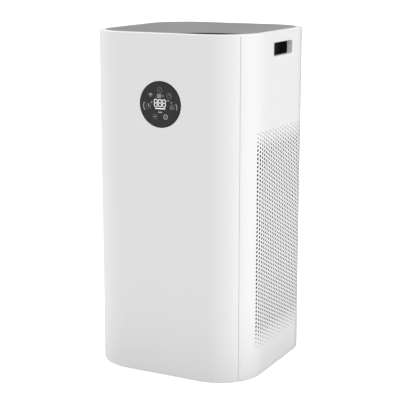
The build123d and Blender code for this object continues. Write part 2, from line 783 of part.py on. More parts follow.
board_half_width = 55.0
board_half_height = 38.0
board_front = front_inside - display_housing_depth
with BuildPart() as control_board:
    cuboid((-board_half_width, board_half_width), (-board_front, -board_front + board_thickness),
           (display_height - board_half_height, display_height + board_half_height))
    cuboid((-25, 5), (-board_front + board_thickness, -board_front + 6),
           (display_height - 20, display_height + 8))
save(control_board, "control_board")

# ---- Particle sensor and its hinged cover, in the left side ----
cover_low = sensor_low + joint_gap
cover_high = sensor_low + sensor_height - joint_gap
cover_span = (sensor_span_y[0] + joint_gap, sensor_span_y[1] - joint_gap)
with BuildPart() as sensor_cover:
    cuboid((-half_width, -half_width + shell_wall), cover_span, (cover_low, cover_high))
    fillet(sensor_cover.edges().filter_by(Axis.Y).group_by(Axis.Z)[0], radius=shell_wall / 2 - 0.01)
    along_y(hinge_pin_radius + running_fit, pin_x, pin_z, cover_span, Mode.SUBTRACT)
    for index in range(5):
        slot_z = sensor_low + 10 + index * 5.5
        cuboid((-half_width, -half_width + shell_wall), (cover_span[0] + 8, cover_span[1] - 8),
               (slot_z, slot_z + 2.2), Mode.SUBTRACT)
save(sensor_cover, "sensor_cover")

with BuildPart() as sensor_hinge_pin:
    along_y(hinge_pin_radius, pin_x, pin_z,
            (sensor_span_y[0] - pin_reach + 0.3, sensor_span_y[1] + pin_reach - 0.3))
save(sensor_hinge_pin, "sensor_hinge_pin")

with BuildPart() as sensor_bezel:
    cuboid((-half_width + shell_wall, -half_width + shell_wall + 2),
           (sensor_span_y[0] - 4, sensor_span_y[1] + 4), (sensor_low - 4, sensor_low + sensor_height + 4))
    cuboid((-half_width + shell_wall, -half_width + shell_wall + 2),
           (sensor_span_y[0] + 3, sensor_span_y[1] - 3), (sensor_low + 3, sensor_low + sensor_height - 3),
           Mode.SUBTRACT)
    # groove that the rounded foot of the cover turns in
    along_y(shell_wall / 2 + joint_gap, pin_x, pin_z, sensor_span_y, Mode.SUBTRACT)
save(sensor_bezel, "sensor_bezel")

with BuildPart() as particle_sensor:
    cuboid((-half_width + shell_wall + 2, -half_width + shell_wall + 22),
           (sensor_span_y[0] + 1, sensor_span_y[1] - 1), (sensor_low + 1, sensor_low + sensor_height - 1))
    with BuildSketch(Plane.YZ.offset(-half_width + shell_wall + 2)) as port:
        with Locations((sensor_centre_y + 12, sensor_centre_z), (sensor_centre_y - 12, sensor_centre_z)):
            Circle(4.0)
    extrude(port.sketch, amount=12, mode=Mode.SUBTRACT)
save(particle_sensor, "particle_sensor")
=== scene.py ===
import json
from math import atan2, cos, pi, radians, sin, sqrt

import bmesh
import bpy
from mathutils import Matrix, Vector


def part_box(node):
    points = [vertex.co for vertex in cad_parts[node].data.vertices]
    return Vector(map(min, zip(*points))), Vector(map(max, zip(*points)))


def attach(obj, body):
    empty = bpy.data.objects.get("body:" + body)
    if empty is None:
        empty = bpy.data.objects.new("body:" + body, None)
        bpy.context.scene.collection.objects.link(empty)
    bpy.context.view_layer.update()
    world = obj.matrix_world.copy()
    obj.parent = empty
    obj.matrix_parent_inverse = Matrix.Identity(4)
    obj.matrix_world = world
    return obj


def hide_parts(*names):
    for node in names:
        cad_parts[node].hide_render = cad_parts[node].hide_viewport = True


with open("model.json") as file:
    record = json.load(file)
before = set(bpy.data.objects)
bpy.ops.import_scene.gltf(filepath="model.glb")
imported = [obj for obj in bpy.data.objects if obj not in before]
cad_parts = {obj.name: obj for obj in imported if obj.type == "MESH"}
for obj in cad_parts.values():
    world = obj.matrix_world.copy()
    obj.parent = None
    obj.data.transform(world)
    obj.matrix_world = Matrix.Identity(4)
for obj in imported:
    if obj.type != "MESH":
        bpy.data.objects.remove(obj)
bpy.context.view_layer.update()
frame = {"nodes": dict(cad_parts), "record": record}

mm = 0.001
print("stage: frame loaded,", len(frame["nodes"]), "nodes")

# sizes that every outer piece shares
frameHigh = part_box("top_frame")[1]
body = dict(
    halfWidth=frameHigh.x,
    halfDepth=frameHigh.y,
    top=frameHigh.z,
    bottom=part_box("front_panel")[0].z,
    frameBottom=frameHigh.z - 5.0 * mm,
    cornerRadius=101.0 * mm,
    wall=3.0 * mm,
    seamAngle=radians(49.6),
    seamGap=0.6 * mm,
    footRound=2.4 * mm,
)
cornerX = body["halfWidth"] - body["cornerRadius"]
cornerY = body["halfDepth"] - body["cornerRadius"]
# the flat of the side, measured round the plan from the middle of the front
sideStart = cornerX + body["cornerRadius"] * pi / 2
sideEnd = sideStart + 2 * cornerY


class Wire:
    # a node's output that can be added, subtracted, multiplied and divided; each step makes one Math node
    def __init__(self, socket):
        self.socket = socket

    def __add__(self, other):
        return calc("ADD", self, other)

    def __sub__(self, other):
        return calc("SUBTRACT", self, other)

    def __rsub__(self, other):
        return calc("SUBTRACT", other, self)

    def __mul__(self, other):
        return calc("MULTIPLY", self, other)

    def __truediv__(self, other):
        return calc("DIVIDE", self, other)


def plug(value, socket):
    # a wire or an output is linked; anything else becomes the socket's own value
    if isinstance(value, Wire):
        value = value.socket
    if isinstance(value, bpy.types.NodeSocket):
        socket.id_data.links.new(value, socket)
    else:
        socket.default_value = value


def addNode(tree, kind, **values):
    node = tree.nodes.new(kind)
    for label, value in values.items():
        plug(value, node.inputs[label.replace("_", " ")])
    return node


def calc(operation, *values):
    tree = next(value.socket.id_data for value in values if isinstance(value, Wire))
    node = tree.nodes.new("ShaderNodeMath")
    node.operation = operation
    for socket, value in zip(node.inputs, values):
        plug(value, socket)
    return Wire(node.outputs[0])


def fade(value, low, high):
    # 0 at low, 1 at high, whichever is larger
    node = addNode(value.socket.id_data, "ShaderNodeMapRange", Value=value, From_Min=low, From_Max=high)
    node.interpolation_type = "SMOOTHSTEP"
    return Wire(node.outputs["Result"])


def parts(tree, vector):
    return [Wire(socket) for socket in addNode(tree, "ShaderNodeSeparateXYZ", Vector=vector).outputs]


def addObject(name, data):
    piece = bpy.data.objects.new(name, data)
    bpy.context.collection.objects.link(piece)
    return piece


view = dict(azimuth=27.3228, elevation=12.3032, distance=2.6173, focal=104.87, right=-0.0049, up=-0.01626,
            targetHeight=0.3698)


def makeCamera():
    az, el = radians(view["azimuth"]), radians(view["elevation"])
    back = Vector((sin(az) * cos(el), -cos(az) * cos(el), sin(el)))
    right = Vector((cos(az), sin(az), 0))
    up = back.cross(right)
    place = Vector((0, 0, view["targetHeight"])) + back * view["distance"] + right * view["right"] + up * view["up"]
    data = bpy.data.cameras.new("camera")
    data.lens = view["focal"]
    data.sensor_width = 36
    data.clip_start = 0.05
    data.clip_end = 60
    camera = addObject("camera", data)
    camera.matrix_world = Matrix.Translation(place) @ Matrix((right, up, back)).transposed().to_4x4()
    bpy.context.scene.camera = camera


studio = dict(
    right=0.91, left=1.08, front=0.30, top=0.90, bottom=0.27,    # soft light from each side
    sideBox=0.56, boxLow=60, boxHigh=114,        # a softbox: strength, then degrees round from the front
    backdrop=1.05,
    lampPower=2.0, lampPlace=(0.25, -0.15, 2.6), lampSize=0.9, lampTarget=(0, 0, 0.4),
    floorReach=14.0, floorLevel=0.93, floorGlow=0.9,
    groundReach=0.36, groundLevel=0.42,
)


def stageSheet(name, outline, level, roughness, glow=0.0):
    mesh = bpy.data.meshes.new(name)
    mesh.from_pydata(outline, [], [list(range(len(outline)))])
    sheet = addObject(name, mesh)
    sheet.visible_glossy = False
    material = bpy.data.materials.new(name)
    material.use_nodes = True
    inputs = material.node_tree.nodes["Principled BSDF"].inputs
    inputs["Base Color"].default_value = (level, level, level, 1)
    inputs["Roughness"].default_value = roughness
    inputs["Emission Color"].default_value = (1, 1, 1, 1)
    inputs["Emission Strength"].default_value = glow
    mesh.materials.append(material)
    return sheet


def makeStudio():
    scene = bpy.context.scene
    scene.view_settings.view_transform = "Standard"
    scene.view_settings.look = "None"
    scene.world = bpy.data.worlds.new("studio")
    scene.world.use_nodes = True
    tree = scene.world.node_tree
    tree.nodes.clear()
    axes = parts(tree, addNode(tree, "ShaderNodeTexCoord").outputs["Generated"])
    level = 0.0
    for name, axis, sign in (("right", 0, 1), ("left", 0, -1), ("front", 1, -1), ("top", 2, 1), ("bottom", 2, -1)):
        level = calc("MAXIMUM", axes[axis] * sign, 0.0) * studio[name] + level
    turn = calc("DEGREES", calc("ARCTAN2", axes[0], axes[1] * -1.0))
    low, high = studio["boxLow"], studio["boxHigh"]
    glow = fade(turn, low - 4, low + 4) * fade(turn, high + 3, high - 3) * fade(calc("ABSOLUTE", axes[2]), 0.85, 0.6)
    level = calc("MAXIMUM", level + glow * studio["sideBox"], 0.0)
    mix = tree.nodes.new("ShaderNodeMixShader")
    plug(addNode(tree, "ShaderNodeLightPath").outputs["Is Camera Ray"], mix.inputs[0])
    for socket, strength in zip(mix.inputs[1:], (level, studio["backdrop"])):
        plug(addNode(tree, "ShaderNodeBackground", Color=(1, 1, 1, 1), Strength=strength).outputs[0], socket)
    addNode(tree, "ShaderNodeOutputWorld", Surface=mix.outputs[0])

    data = bpy.data.lights.new("topLampLight", "AREA")
    data.energy = studio["lampPower"]
    data.size = studio["lampSize"]
    lamp = addObject("topLampLight", data)
    lamp.location = studio["lampPlace"]
    aim = Vector(studio["lampTarget"]) - lamp.location
    lamp.rotation_euler = aim.to_track_quat("-Z", "Y").to_euler()

    reach = studio["floorReach"]
    corners = [(-reach, -reach, 0), (reach, -reach, 0), (reach, reach, 0), (-reach, reach, 0)]
    floor = stageSheet("floor", corners, studio["floorLevel"], 0.9, studio["floorGlow"])
    floor.visible_diffuse = False        # the light from below comes from the world's own gradient
    # unseen darker ground close by, so that the walls grow darker towards their foot
    reach = studio["groundReach"]
    ring = [(reach * cos(2 * pi * k / 48), reach * sin(2 * pi * k / 48), 0.5 * mm) for k in range(48)]
    ground = stageSheet("nearGround", ring, studio["groundLevel"], 1.0)
    ground.visible_camera = False


makeCamera()
makeStudio()
print("stage: camera and studio")


class Look:
    # one finish on Object coordinates, with patterns for its colour, its gloss and its relief
    def __init__(self, name, **plain):
        self.material = bpy.data.materials.new(name)
        self.material.use_nodes = True
        self.tree = self.material.node_tree
        self.shader = self.tree.nodes["Principled BSDF"]
        self.coords = self.tree.nodes.new("ShaderNodeTexCoord").outputs["Object"]
        for label, value in plain.items():
            self.shader.inputs[label.replace("_", " ")].default_value = value

    def noise(self, size, detail=3.0, rough=0.5, stretch=None):
        # size is the width of one blotch, in metres
        vector = self.coords
        if stretch:
            vector = addNode(self.tree, "ShaderNodeMapping", Vector=vector, Scale=stretch).outputs["Vector"]
        return addNode(self.tree, "ShaderNodeTexNoise", Vector=vector, Scale=1.0 / size, Detail=detail,
                       Roughness=rough).outputs["Fac"]

    def cells(self, size):
        return addNode(self.tree, "ShaderNodeTexVoronoi", Vector=self.coords, Scale=1.0 / size).outputs["Distance"]

    def spread(self, pattern, low, high, fromLow, fromHigh):
        return addNode(self.tree, "ShaderNodeMapRange", Value=pattern, From_Min=fromLow, From_Max=fromHigh, To_Min=low,
                       To_Max=high).outputs["Result"]

    def colour(self, pattern, dark, light, fromLow=0.3, fromHigh=0.7, sockets=("Base Color",)):
        node = self.tree.nodes.new("ShaderNodeMix")
        node.data_type = "RGBA"
        plug(self.spread(pattern, 0.0, 1.0, fromLow, fromHigh), node.inputs[0])
        node.inputs["A"].default_value = (*dark, 1)
        node.inputs["B"].default_value = (*light, 1)
        for name in sockets:
            plug(node.outputs["Result"], self.shader.inputs[name])

    def gloss(self, pattern, low, high, fromLow=0.3, fromHigh=0.7):
        plug(self.spread(pattern, low, high, fromLow, fromHigh), self.shader.inputs["Roughness"])

    def relief(self, height, depth, strength):
        node = addNode(self.tree, "ShaderNodeBump", Height=height, Distance=depth, Strength=strength)
        plug(node.outputs["Normal"], self.shader.inputs["Normal"])


def shade(colour, factor):
    return [min(1.0, c * factor) for c in colour]


def mouldedPlastic(name, colour, roughness, grain=0.45 * mm, strength=0.25, tint=0.02, glossDrift=0.05):
    # spark-eroded mould grain, with a slow drift in colour and gloss
    look = Look(name)
    look.colour(look.noise(90 * mm, 2.0), shade(colour, 1 - tint), shade(colour, 1 + tint))
    look.gloss(look.noise(60 * mm, 1.0), roughness - glossDrift, roughness + glossDrift, 0.0, 1.0)
    look.relief(look.noise(grain, 2.0, 0.6), 0.02 * mm, strength)
    return look.material


def polishedLens(name, colour):
    look = Look(name)
    wipe = look.noise(18 * mm, 4.0, 0.6, (1.0, 1.0, 3.0))
    look.colour(wipe, shade(colour, 0.96), shade(colour, 1.04))
    look.gloss(wipe, 0.10, 0.16)
    look.relief(look.noise(30 * mm, 1.0), 0.02 * mm, 0.15)
    return look.material


def lampWhite(name, level, strength):
    # printed and back-lit marks, with the fine dots of the print in them
    look = Look(name, Emission_Strength=strength, Roughness=0.4)
    look.colour(look.cells(0.35 * mm), [level] * 3, [level * 0.86] * 3, 0.0, 0.8, ("Base Color", "Emission Color"))
    return look.material


def plainSteel(name, colour, roughness=0.28):
    look = Look(name, Metallic=1.0)
    brushed = look.noise(6 * mm, 5.0, 0.7, (1.0, 1.0, 30.0))
    look.colour(brushed, shade(colour, 0.85), colour)
    look.gloss(brushed, roughness - 0.06, roughness + 0.1)
    look.relief(brushed, 0.02 * mm, 0.3)
    return look.material


def softRubber(name, colour, grain=0.6 * mm):
    look = Look(name)
    dust = look.noise(12 * mm, 5.0, 0.65)
    look.colour(dust, colour, [c + 0.03 for c in colour])
    look.gloss(dust, 0.72, 0.9)
    look.relief(look.cells(grain), 0.08 * mm, 0.4)
    return look.material


def filterPaper(name):
    look = Look(name, Roughness=0.9)
    look.colour(look.noise(45 * mm), (0.80, 0.81, 0.79), (0.90, 0.90, 0.88))
    look.relief(look.noise(0.9 * mm, 6.0, 0.75, (1.0, 1.0, 0.25)), 0.15 * mm, 0.6)
    return look.material


def carbonGrains(name):
    look = Look(name, Roughness=0.55)
    grainsAndGapShade = look.cells(2.2 * mm)
    # the colour is lighter in the middle of each grain and darker where grains meet: painted shade in the gaps between
    # them
    look.colour(grainsAndGapShade, (0.05, 0.05, 0.052), (0.008, 0.008, 0.009), 0.0, 0.9)
    look.relief(grainsAndGapShade, 0.8 * mm, 0.9)
    return look.material


def circuitBoard(name):
    look = Look(name, Roughness=0.3)
    tracks = addNode(look.tree, "ShaderNodeTexBrick", Vector=look.coords, Scale=110.0, Mortar_Size=0.03,
                     Color1=(0.02, 0.15, 0.06, 1), Color2=(0.03, 0.19, 0.08, 1), Mortar=(0.08, 0.30, 0.14, 1))
    plug(tracks.outputs["Color"], look.shader.inputs["Base Color"])
    look.relief(tracks.outputs["Fac"], 0.05 * mm, 0.4)
    return look.material


def castIron(name, colour):
    look = Look(name, Metallic=0.8)
    sheets = look.noise(4 * mm, 3.0, 0.6, (0.2, 0.2, 8.0))
    look.colour(sheets, shade(colour, 0.7), shade(colour, 1.3))
    look.gloss(sheets, 0.4, 0.6)
    look.relief(sheets, 0.1 * mm, 0.5)
    return look.material


finishes = dict(
    shell_white=mouldedPlastic("shellWhite", (0.84, 0.84, 0.845), 0.27, tint=0.003, strength=0.04, glossDrift=0.002),
    dish_grey=mouldedPlastic("dishGrey", (0.216, 0.216, 0.219), 0.5, grain=0.7 * mm, strength=0.4),
    vent_black=mouldedPlastic("ventBlack", (0.0084, 0.0084, 0.0090), 0.60, grain=0.7 * mm, strength=0.5, tint=0.1),
    display_black=polishedLens("displayBlack", (0.011, 0.011, 0.0115)),
    inner_grey=mouldedPlastic("innerGrey", (0.36, 0.37, 0.38), 0.5, grain=0.8 * mm, strength=0.4, tint=0.04),
    impeller_grey=mouldedPlastic("impellerGrey", (0.13, 0.135, 0.14), 0.42, tint=0.05),
    socket_black=mouldedPlastic("socketBlack", (0.02, 0.02, 0.021), 0.45, tint=0.08),
    switch_tip=mouldedPlastic("switchTip", (0.68, 0.17, 0.06), 0.4, tint=0.04),
    foot_rubber=softRubber("footRubber", (0.03, 0.03, 0.03)),
    filter_frame=mouldedPlastic("filterFrame", (0.09, 0.25, 0.37), 0.42, tint=0.05),
    gasket_foam=softRubber("gasketFoam", (0.045, 0.045, 0.05), grain=1.1 * mm),
    media_paper=filterPaper("mediaPaper"),
    carbon_black=carbonGrains("carbonBlack"),
    # the prefilter's own dark colour; the same finish, set to the darkness of the holes, also goes on the sheets behind
    # the holes as painted shade
    prefilter_net=mouldedPlastic("prefilterNetAndHoleShade", (0.085, 0.085, 0.089), 0.5, tint=0.06),
    tab_plastic=mouldedPlastic("tabPlastic", (0.08, 0.27, 0.44), 0.45, tint=0.05),
    motor_metal=plainSteel("motorMetal", (0.55, 0.56, 0.58), 0.35),
    motor_iron=castIron("motorIron", (0.12, 0.12, 0.13)),
    steel=plainSteel("zincSteel", (0.6, 0.6, 0.61)),
    circuit_green=circuitBoard("circuitGreen"),
)
litMark = lampWhite("litMark", 0.80, 0.42)
softMark = lampWhite("softMark", 0.36, 0.22)
dimMark = lampWhite("dimMark", 0.13, 0.08)
for entry in frame["record"]["subparts"]:
    node = frame["nodes"][entry["node"]]
    node.data.materials.clear()
    node.data.materials.append(finishes[entry["material_slot"]])
print("stage: finishes on the carried-over nodes")


def meshFrom(bm, name):
    mesh = bpy.data.meshes.new(name)
    bm.to_mesh(mesh)
    bm.free()
    return mesh


def baked(source):
    graph = bpy.context.evaluated_depsgraph_get()
    return bpy.data.meshes.new_from_object(source.evaluated_get(graph), preserve_all_data_layers=True, depsgraph=graph)


def settle(source, name, sharp=32.0, weighted=True):
    # turns an object with live modifiers into a plain, outward-facing mesh at the origin
    mesh = baked(source)
    bpy.data.objects.remove(source, do_unlink=True)
    bm = bmesh.new()
    bm.from_mesh(mesh)
    bmesh.ops.recalc_face_normals(bm, faces=bm.faces)
    bm.to_mesh(mesh)
    bm.free()
    for polygon in mesh.polygons:
        polygon.use_smooth = True
    mesh.set_sharp_from_angle(angle=radians(sharp))
    mesh.name = name
    piece = addObject(name, mesh)
    if weighted:
        even = piece.modifiers.new("even", "WEIGHTED_NORMAL")
        even.keep_sharp = True
        even.weight = 90
        done = baked(piece)
        piece.modifiers.clear()
        piece.data = done
    return piece


def dress(piece, home, slot, node=None, material=None):
    piece.data.materials.clear()
    piece.data.materials.append(material or finishes[slot])
    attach(piece, home)
    if node:
        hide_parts(node)


def finish(piece, node, slot):
    # the piece stands for one CAD node, on that node's body
    bodies = frame["record"]["behaviour"]["bodies"]
    dress(piece, next(name for name, nodes in bodies.items() if node in nodes), slot, node)


def joinLoops(bm, first, second, closed=True):
    # a band of quads between two rows of points
    for k in range(len(first) if closed else len(first) - 1):
        n = (k + 1) % len(first)
        bm.faces.new((first[k], first[n], second[n], second[k]))


def fillBetween(bm, *rings):
    # flat triangles inside the first ring and outside the others
    edges = []
    for ring in rings:
        for first, second in zip(ring, ring[1:] + ring[:1]):
            edges.append(bm.edges.get((first, second)) or bm.edges.new((first, second)))
    bmesh.ops.triangle_fill(bm, use_beauty=True, use_dissolve=False, edges=edges)


def roundRims(bm, rings, offset, segments=3):
    edges = [bm.edges.get(pair) for ring in rings for pair in zip(ring, ring[1:] + ring[:1])]
    bmesh.ops.bevel(bm, geom=[edge for edge in edges if edge], offset=offset, segments=segments, profile=0.5,
                    affect="EDGES")


def ringMesh(name, rows, closedProfile=True):
    # rows[k] is a closed loop of points; neighbouring loops are joined by quads
    bm = bmesh.new()
    loops = [[bm.verts.new(point) for point in row] for row in rows]
    for first, second in zip(loops, loops[1:] + (loops[:1] if closedProfile else [])):
        joinLoops(bm, first, second)
    if not closedProfile:
        bm.faces.new(loops[0])
        bm.faces.new(loops[-1])
    bmesh.ops.recalc_face_normals(bm, faces=bm.faces)
    return meshFrom(bm, name)


def roundedLoop(centre, width, height, radius, steps=6):
    loop = []
    for cx, cz, start in ((1, 1, 0), (-1, 1, pi / 2), (-1, -1, pi), (1, -1, 3 * pi / 2)):
        for step in range(steps + 1):
            turn = start + pi / 2 * step / steps
            loop.append((centre[0] + cx * (width / 2 - radius) + radius * cos(turn),
                         centre[1] + cz * (height / 2 - radius) + radius * sin(turn)))
    return loop


def circleLoop(centre, radius, steps=96):
    return [(centre[0] + radius * cos(2 * pi * k / steps), centre[1] + radius * sin(2 * pi * k / steps))
            for k in range(steps)]


def evenLines(low, high, step):
    count = max(1, round((high - low) / step))
    return [low + (high - low) * k / count for k in range(count + 1)]


def footLines(low):
    return [low + body["footRound"] * (1 - cos(pi / 2 * k / 4)) for k in range(5)]


def mergeLines(*groups):
    found = []
    for value in sorted(v for group in groups for v in group):
        if not found or value - found[-1] > 0.05 * mm:
            found.append(value)
    return found


def lineIndex(lines, value):
    return min(range(len(lines)), key=lambda k: abs(lines[k] - value))


# A wall is made flat first: x is the way round the body, y the depth behind its outer face, z the height.
holes = dict(columnPitch=9.125 * mm, halfRow=4.336 * mm, radius=2.8 * mm, sides=14, sheet=0.5 * mm,
             sideStart=135.4 * mm, top=532.8 * mm, columns=25, sideRows=54, doorRows=52,
             fadeLength=48 * mm, endSize=0.5)
fieldTop = holes["top"] + holes["halfRow"]
sideField = cornerX + holes["sideStart"] - holes["columnPitch"] / 2
doorField = -holes["columns"] * holes["columnPitch"] / 2


def roundedDepth(z, low, radius):
    rise = min(max(z - low, 0.0), radius)
    return radius - sqrt(radius ** 2 - (radius - rise) ** 2)


def gridRim(left, right, low, high):
    # the grid places round a block of cells
    rim = [(i, low) for i in range(left, right)] + [(right, j) for j in range(low, high)]
    return rim + [(i, high) for i in range(right, left, -1)] + [(left, j) for j in range(high, low, -1)]


def flatWall(name, across, up, cuts=(), field=None, footRound=0.0):
    bm = bmesh.new()
    blocked = [cut["box"] for cut in cuts] + ([field] if field else [])

    def skin(depth, footRadius):
        grid = {}

        def corner(i, j):
            if (i, j) not in grid:
                grid[(i, j)] = bm.verts.new((across[i], depth + roundedDepth(up[j], up[0], footRadius), up[j]))
            return grid[(i, j)]

        for i in range(len(across) - 1):
            for j in range(len(up) - 1):
                if not any(a0 <= i < a1 and b0 <= j < b1 for a0, a1, b0, b1 in blocked):
                    bm.faces.new((corner(i, j), corner(i + 1, j), corner(i + 1, j + 1), corner(i, j + 1)))
        loops = []
        for cut in cuts:
            hole = [bm.verts.new((x, depth, z)) for x, z in cut["loop"]]
            fillBetween(bm, [corner(i, j) for i, j in gridRim(*cut["box"])], hole)
            loops.append(hole)
        return grid, loops

    outer, outerHoles = skin(0.0, footRound)
    inner, innerHoles = skin(body["wall"], 0.0)
    around = gridRim(0, len(across) - 1, 0, len(up) - 1)
    joinLoops(bm, [outer[spot] for spot in around], [inner[spot] for spot in around])
    uprights = [bm.edges.get((outer[a], outer[b])) for a, b in zip(around, around[1:] + around[:1]) if a[0] == b[0]]
    for first, second in zip(outerHoles, innerHoles):
        joinLoops(bm, first, second)
    if field:
        # the perforated field is a thinner sheet: a step joins it to the full wall on the inside
        edge = gridRim(*field)
        step = [bm.verts.new((across[i], holes["sheet"], up[j])) for i, j in edge]
        joinLoops(bm, [inner[spot] for spot in edge], step)
    bmesh.ops.recalc_face_normals(bm, faces=bm.faces)
    bmesh.ops.bevel(bm, geom=uprights, offset=0.35 * mm, segments=2, profile=0.5, affect="EDGES")
    for cut, ring in zip(cuts, outerHoles):
        roundRims(bm, [ring], cut["round"])
    return addObject(name, meshFrom(bm, name))


def treeWithInputs(name, inputs):
    # each input's kind follows from its value; a word instead of a number is the kind itself
    tree = bpy.data.node_groups.new(name, "GeometryNodeTree")
    tree.interface.new_socket("Geometry", in_out="OUTPUT", socket_type="NodeSocketGeometry")
    tree.interface.new_socket("Geometry", in_out="INPUT", socket_type="NodeSocketGeometry")
    for label, value in inputs.items():
        kind = {float: "Float", int: "Int"}.get(type(value), value)
        socket = tree.interface.new_socket(label, in_out="INPUT", socket_type="NodeSocket" + kind)
        if kind != value:
            socket.default_value = value
    given = {socket.name: Wire(socket) for socket in tree.nodes.new("NodeGroupInput").outputs}
    return tree, given, tree.nodes.new("NodeGroupOutput").inputs[0]


def useTree(piece, tree, **values):
    modifier = piece.modifiers.new(tree.name, "NODES")
    modifier.node_group = tree
    sockets = {item.name: item.identifier for item in tree.interface.items_tree
               if item.item_type == "SOCKET" and item.in_out == "INPUT"}
    for label, value in values.items():
        modifier[sockets[label.replace("_", " ")]] = value


def within(value, high):
    return calc("MINIMUM", calc("MAXIMUM", value, 0.0), high)


def combined(tree, x=0.0, y=0.0, z=0.0):
    return addNode(tree, "ShaderNodeCombineXYZ", X=x, Y=y, Z=z).outputs[0]


def position(tree):
    return parts(tree, tree.nodes.new("GeometryNodeInputPosition").outputs[0])


def index(tree):
    return Wire(tree.nodes.new("GeometryNodeInputIndex").outputs[0])


def makeBendTree():
    # wraps flat geometry round the rounded-square plan; Facing -1 wraps it round the back instead
    tree, given, result = treeWithInputs("wrapRoundBody", {
        "Corner Radius": body["cornerRadius"], "Half Width": body["halfWidth"], "Half Depth": body["halfDepth"],
        "Facing": 1.0})
    radius = given["Corner Radius"]
    across, depth, height = position(tree)
    along = calc("ABSOLUTE", across)
    centreX = given["Half Width"] - radius
    centreY = given["Half Depth"] - radius
    arc = radius * (pi / 2)
    firstEnd = centreX + arc
    flatEnd = firstEnd + centreY * 2.0
    turn = within((along - centreX) / radius, pi / 2) + within((along - flatEnd) / radius, pi / 2) - pi / 2
    beyond = within(along - (flatEnd + arc), centreX)
    reach = radius - depth
    x = calc("SIGN", across) * (calc("MINIMUM", along, centreX) - beyond + reach * calc("COSINE", turn))
    y = within(along - firstEnd, centreY * 2.0) - centreY + reach * calc("SINE", turn)
    moved = addNode(tree, "GeometryNodeSetPosition", Geometry=given["Geometry"],
                    Position=combined(tree, x, given["Facing"] * y, height))
    plug(moved.outputs[0], result)
    return tree


def makePerforatedTree(bendTree):
    # fills the open field of a flat wall with staggered tiles, each with a hole, then wraps the whole wall
    tree, given, result = treeWithInputs("perforatedWall", {
        "Tile": "Object", "Columns": holes["columns"], "Rows": holes["sideRows"], "Column Pitch": holes["columnPitch"],
        "Half Row Pitch": holes["halfRow"], "Field Start": 0.0, "Field Top": fieldTop,
        "Fade Length": holes["fadeLength"], "End Size": holes["endSize"], "Facing": 1.0,
        "Corner Radius": body["cornerRadius"], "Material": "Material"})
    rows, halfRow, top = given["Rows"], given["Half Row Pitch"], given["Field Top"]
    grid = addNode(tree, "GeometryNodeMeshGrid", Vertices_X=given["Columns"], Vertices_Y=rows)
    spot = index(tree)
    column = calc("FLOOR", (spot + 0.5) / rows)
    steps = (spot - column * rows) * 2.0 + (calc("MODULO", column, 2.0) + 1.0)
    place = combined(tree, given["Field Start"] + (column + 0.5) * given["Column Pitch"], 0.0, top - steps * halfRow)
    spots = addNode(tree, "GeometryNodeSetPosition", Geometry=grid.outputs["Mesh"], Position=place)
    kept = tree.nodes.new("GeometryNodeStoreNamedAttribute")
    kept.data_type = "FLOAT_VECTOR"
    kept.domain = "POINT"
    for label, value in (("Name", "tileCentre"), ("Geometry", spots.outputs[0]), ("Value", place)):
        plug(value, kept.inputs[label])
    tile = addNode(tree, "GeometryNodeObjectInfo", Object=given["Tile"])
    copies = addNode(tree, "GeometryNodeInstanceOnPoints", Points=kept.outputs[0], Instance=tile.outputs["Geometry"])
    real = addNode(tree, "GeometryNodeRealizeInstances", Geometry=copies.outputs[0])

    def stored(name, kind):
        node = tree.nodes.new("GeometryNodeInputNamedAttribute")
        node.data_type = kind
        node.inputs["Name"].default_value = name
        return node.outputs[0]

    # the holes shrink towards the top and the foot of the field
    middle = parts(tree, stored("tileCentre", "FLOAT_VECTOR"))
    here = position(tree)
    fromTop = top - middle[2]
    fromEnd = calc("MINIMUM", fromTop, rows * 2.0 * halfRow - fromTop)
    grown = addNode(tree, "ShaderNodeMapRange", Value=fromEnd, From_Max=given["Fade Length"], To_Min=given["End Size"])
    grown.interpolation_type = "SMOOTHSTEP"
    shrink = 1.0 - Wire(stored("holeRim", "FLOAT")) * (1.0 - Wire(grown.outputs["Result"]))
    newX, newZ = [middle[axis] + (here[axis] - middle[axis]) * shrink for axis in (0, 2)]
    sized = addNode(tree, "GeometryNodeSetPosition", Geometry=real.outputs[0],
                    Position=combined(tree, newX, here[1], newZ))
    joined = tree.nodes.new("GeometryNodeJoinGeometry")
    plug(sized.outputs[0], joined.inputs[0])
    plug(given["Geometry"], joined.inputs[0])
    welded = addNode(tree, "GeometryNodeMergeByDistance", Geometry=joined.outputs[0], Distance=0.02 * mm)
    bent = tree.nodes.new("GeometryNodeGroup")
    bent.node_tree = bendTree
    for label, value in (("Geometry", welded.outputs[0]), ("Facing", given["Facing"]),
                         ("Corner Radius", given["Corner Radius"])):
        plug(value, bent.inputs[label])
    painted = addNode(tree, "GeometryNodeSetMaterial", Geometry=bent.outputs[0], Material=given["Material"])
    plug(painted.outputs[0], result)
    return tree


def makeTile():
    # one column pitch wide and one row pitch high, both faces of the wall, with the hole through it
    bm = bmesh.new()
    rimLayer = bm.verts.layers.float.new("holeRim")
    halfX, halfZ = holes["columnPitch"] / 2, holes["halfRow"]
    border = [(-halfX, -halfZ), (halfX, -halfZ), (halfX, 0), (halfX, halfZ), (-halfX, halfZ), (-halfX, 0)]
    rims = []
    for depth in (0.0, holes["sheet"]):
        edge = [bm.verts.new((x, depth, z)) for x, z in border]
        rims.append([bm.verts.new((x, depth, z)) for x, z in circleLoop((0, 0), holes["radius"], holes["sides"])])
        for vert in rims[-1]:
            vert[rimLayer] = 1.0
        fillBetween(bm, edge, rims[-1])
    joinLoops(bm, *rims)
    return addObject("tile", meshFrom(bm, "tile"))


seamAt = cornerX + body["seamAngle"] * body["cornerRadius"]
panelEnd = seamAt - body["seamGap"] / 2
arcStep = body["cornerRadius"] * radians(3.6)
panelTop = body["frameBottom"] - 0.03 * mm
bendTree = makeBendTree()
perforatedTree = makePerforatedTree(bendTree)
tile = makeTile()


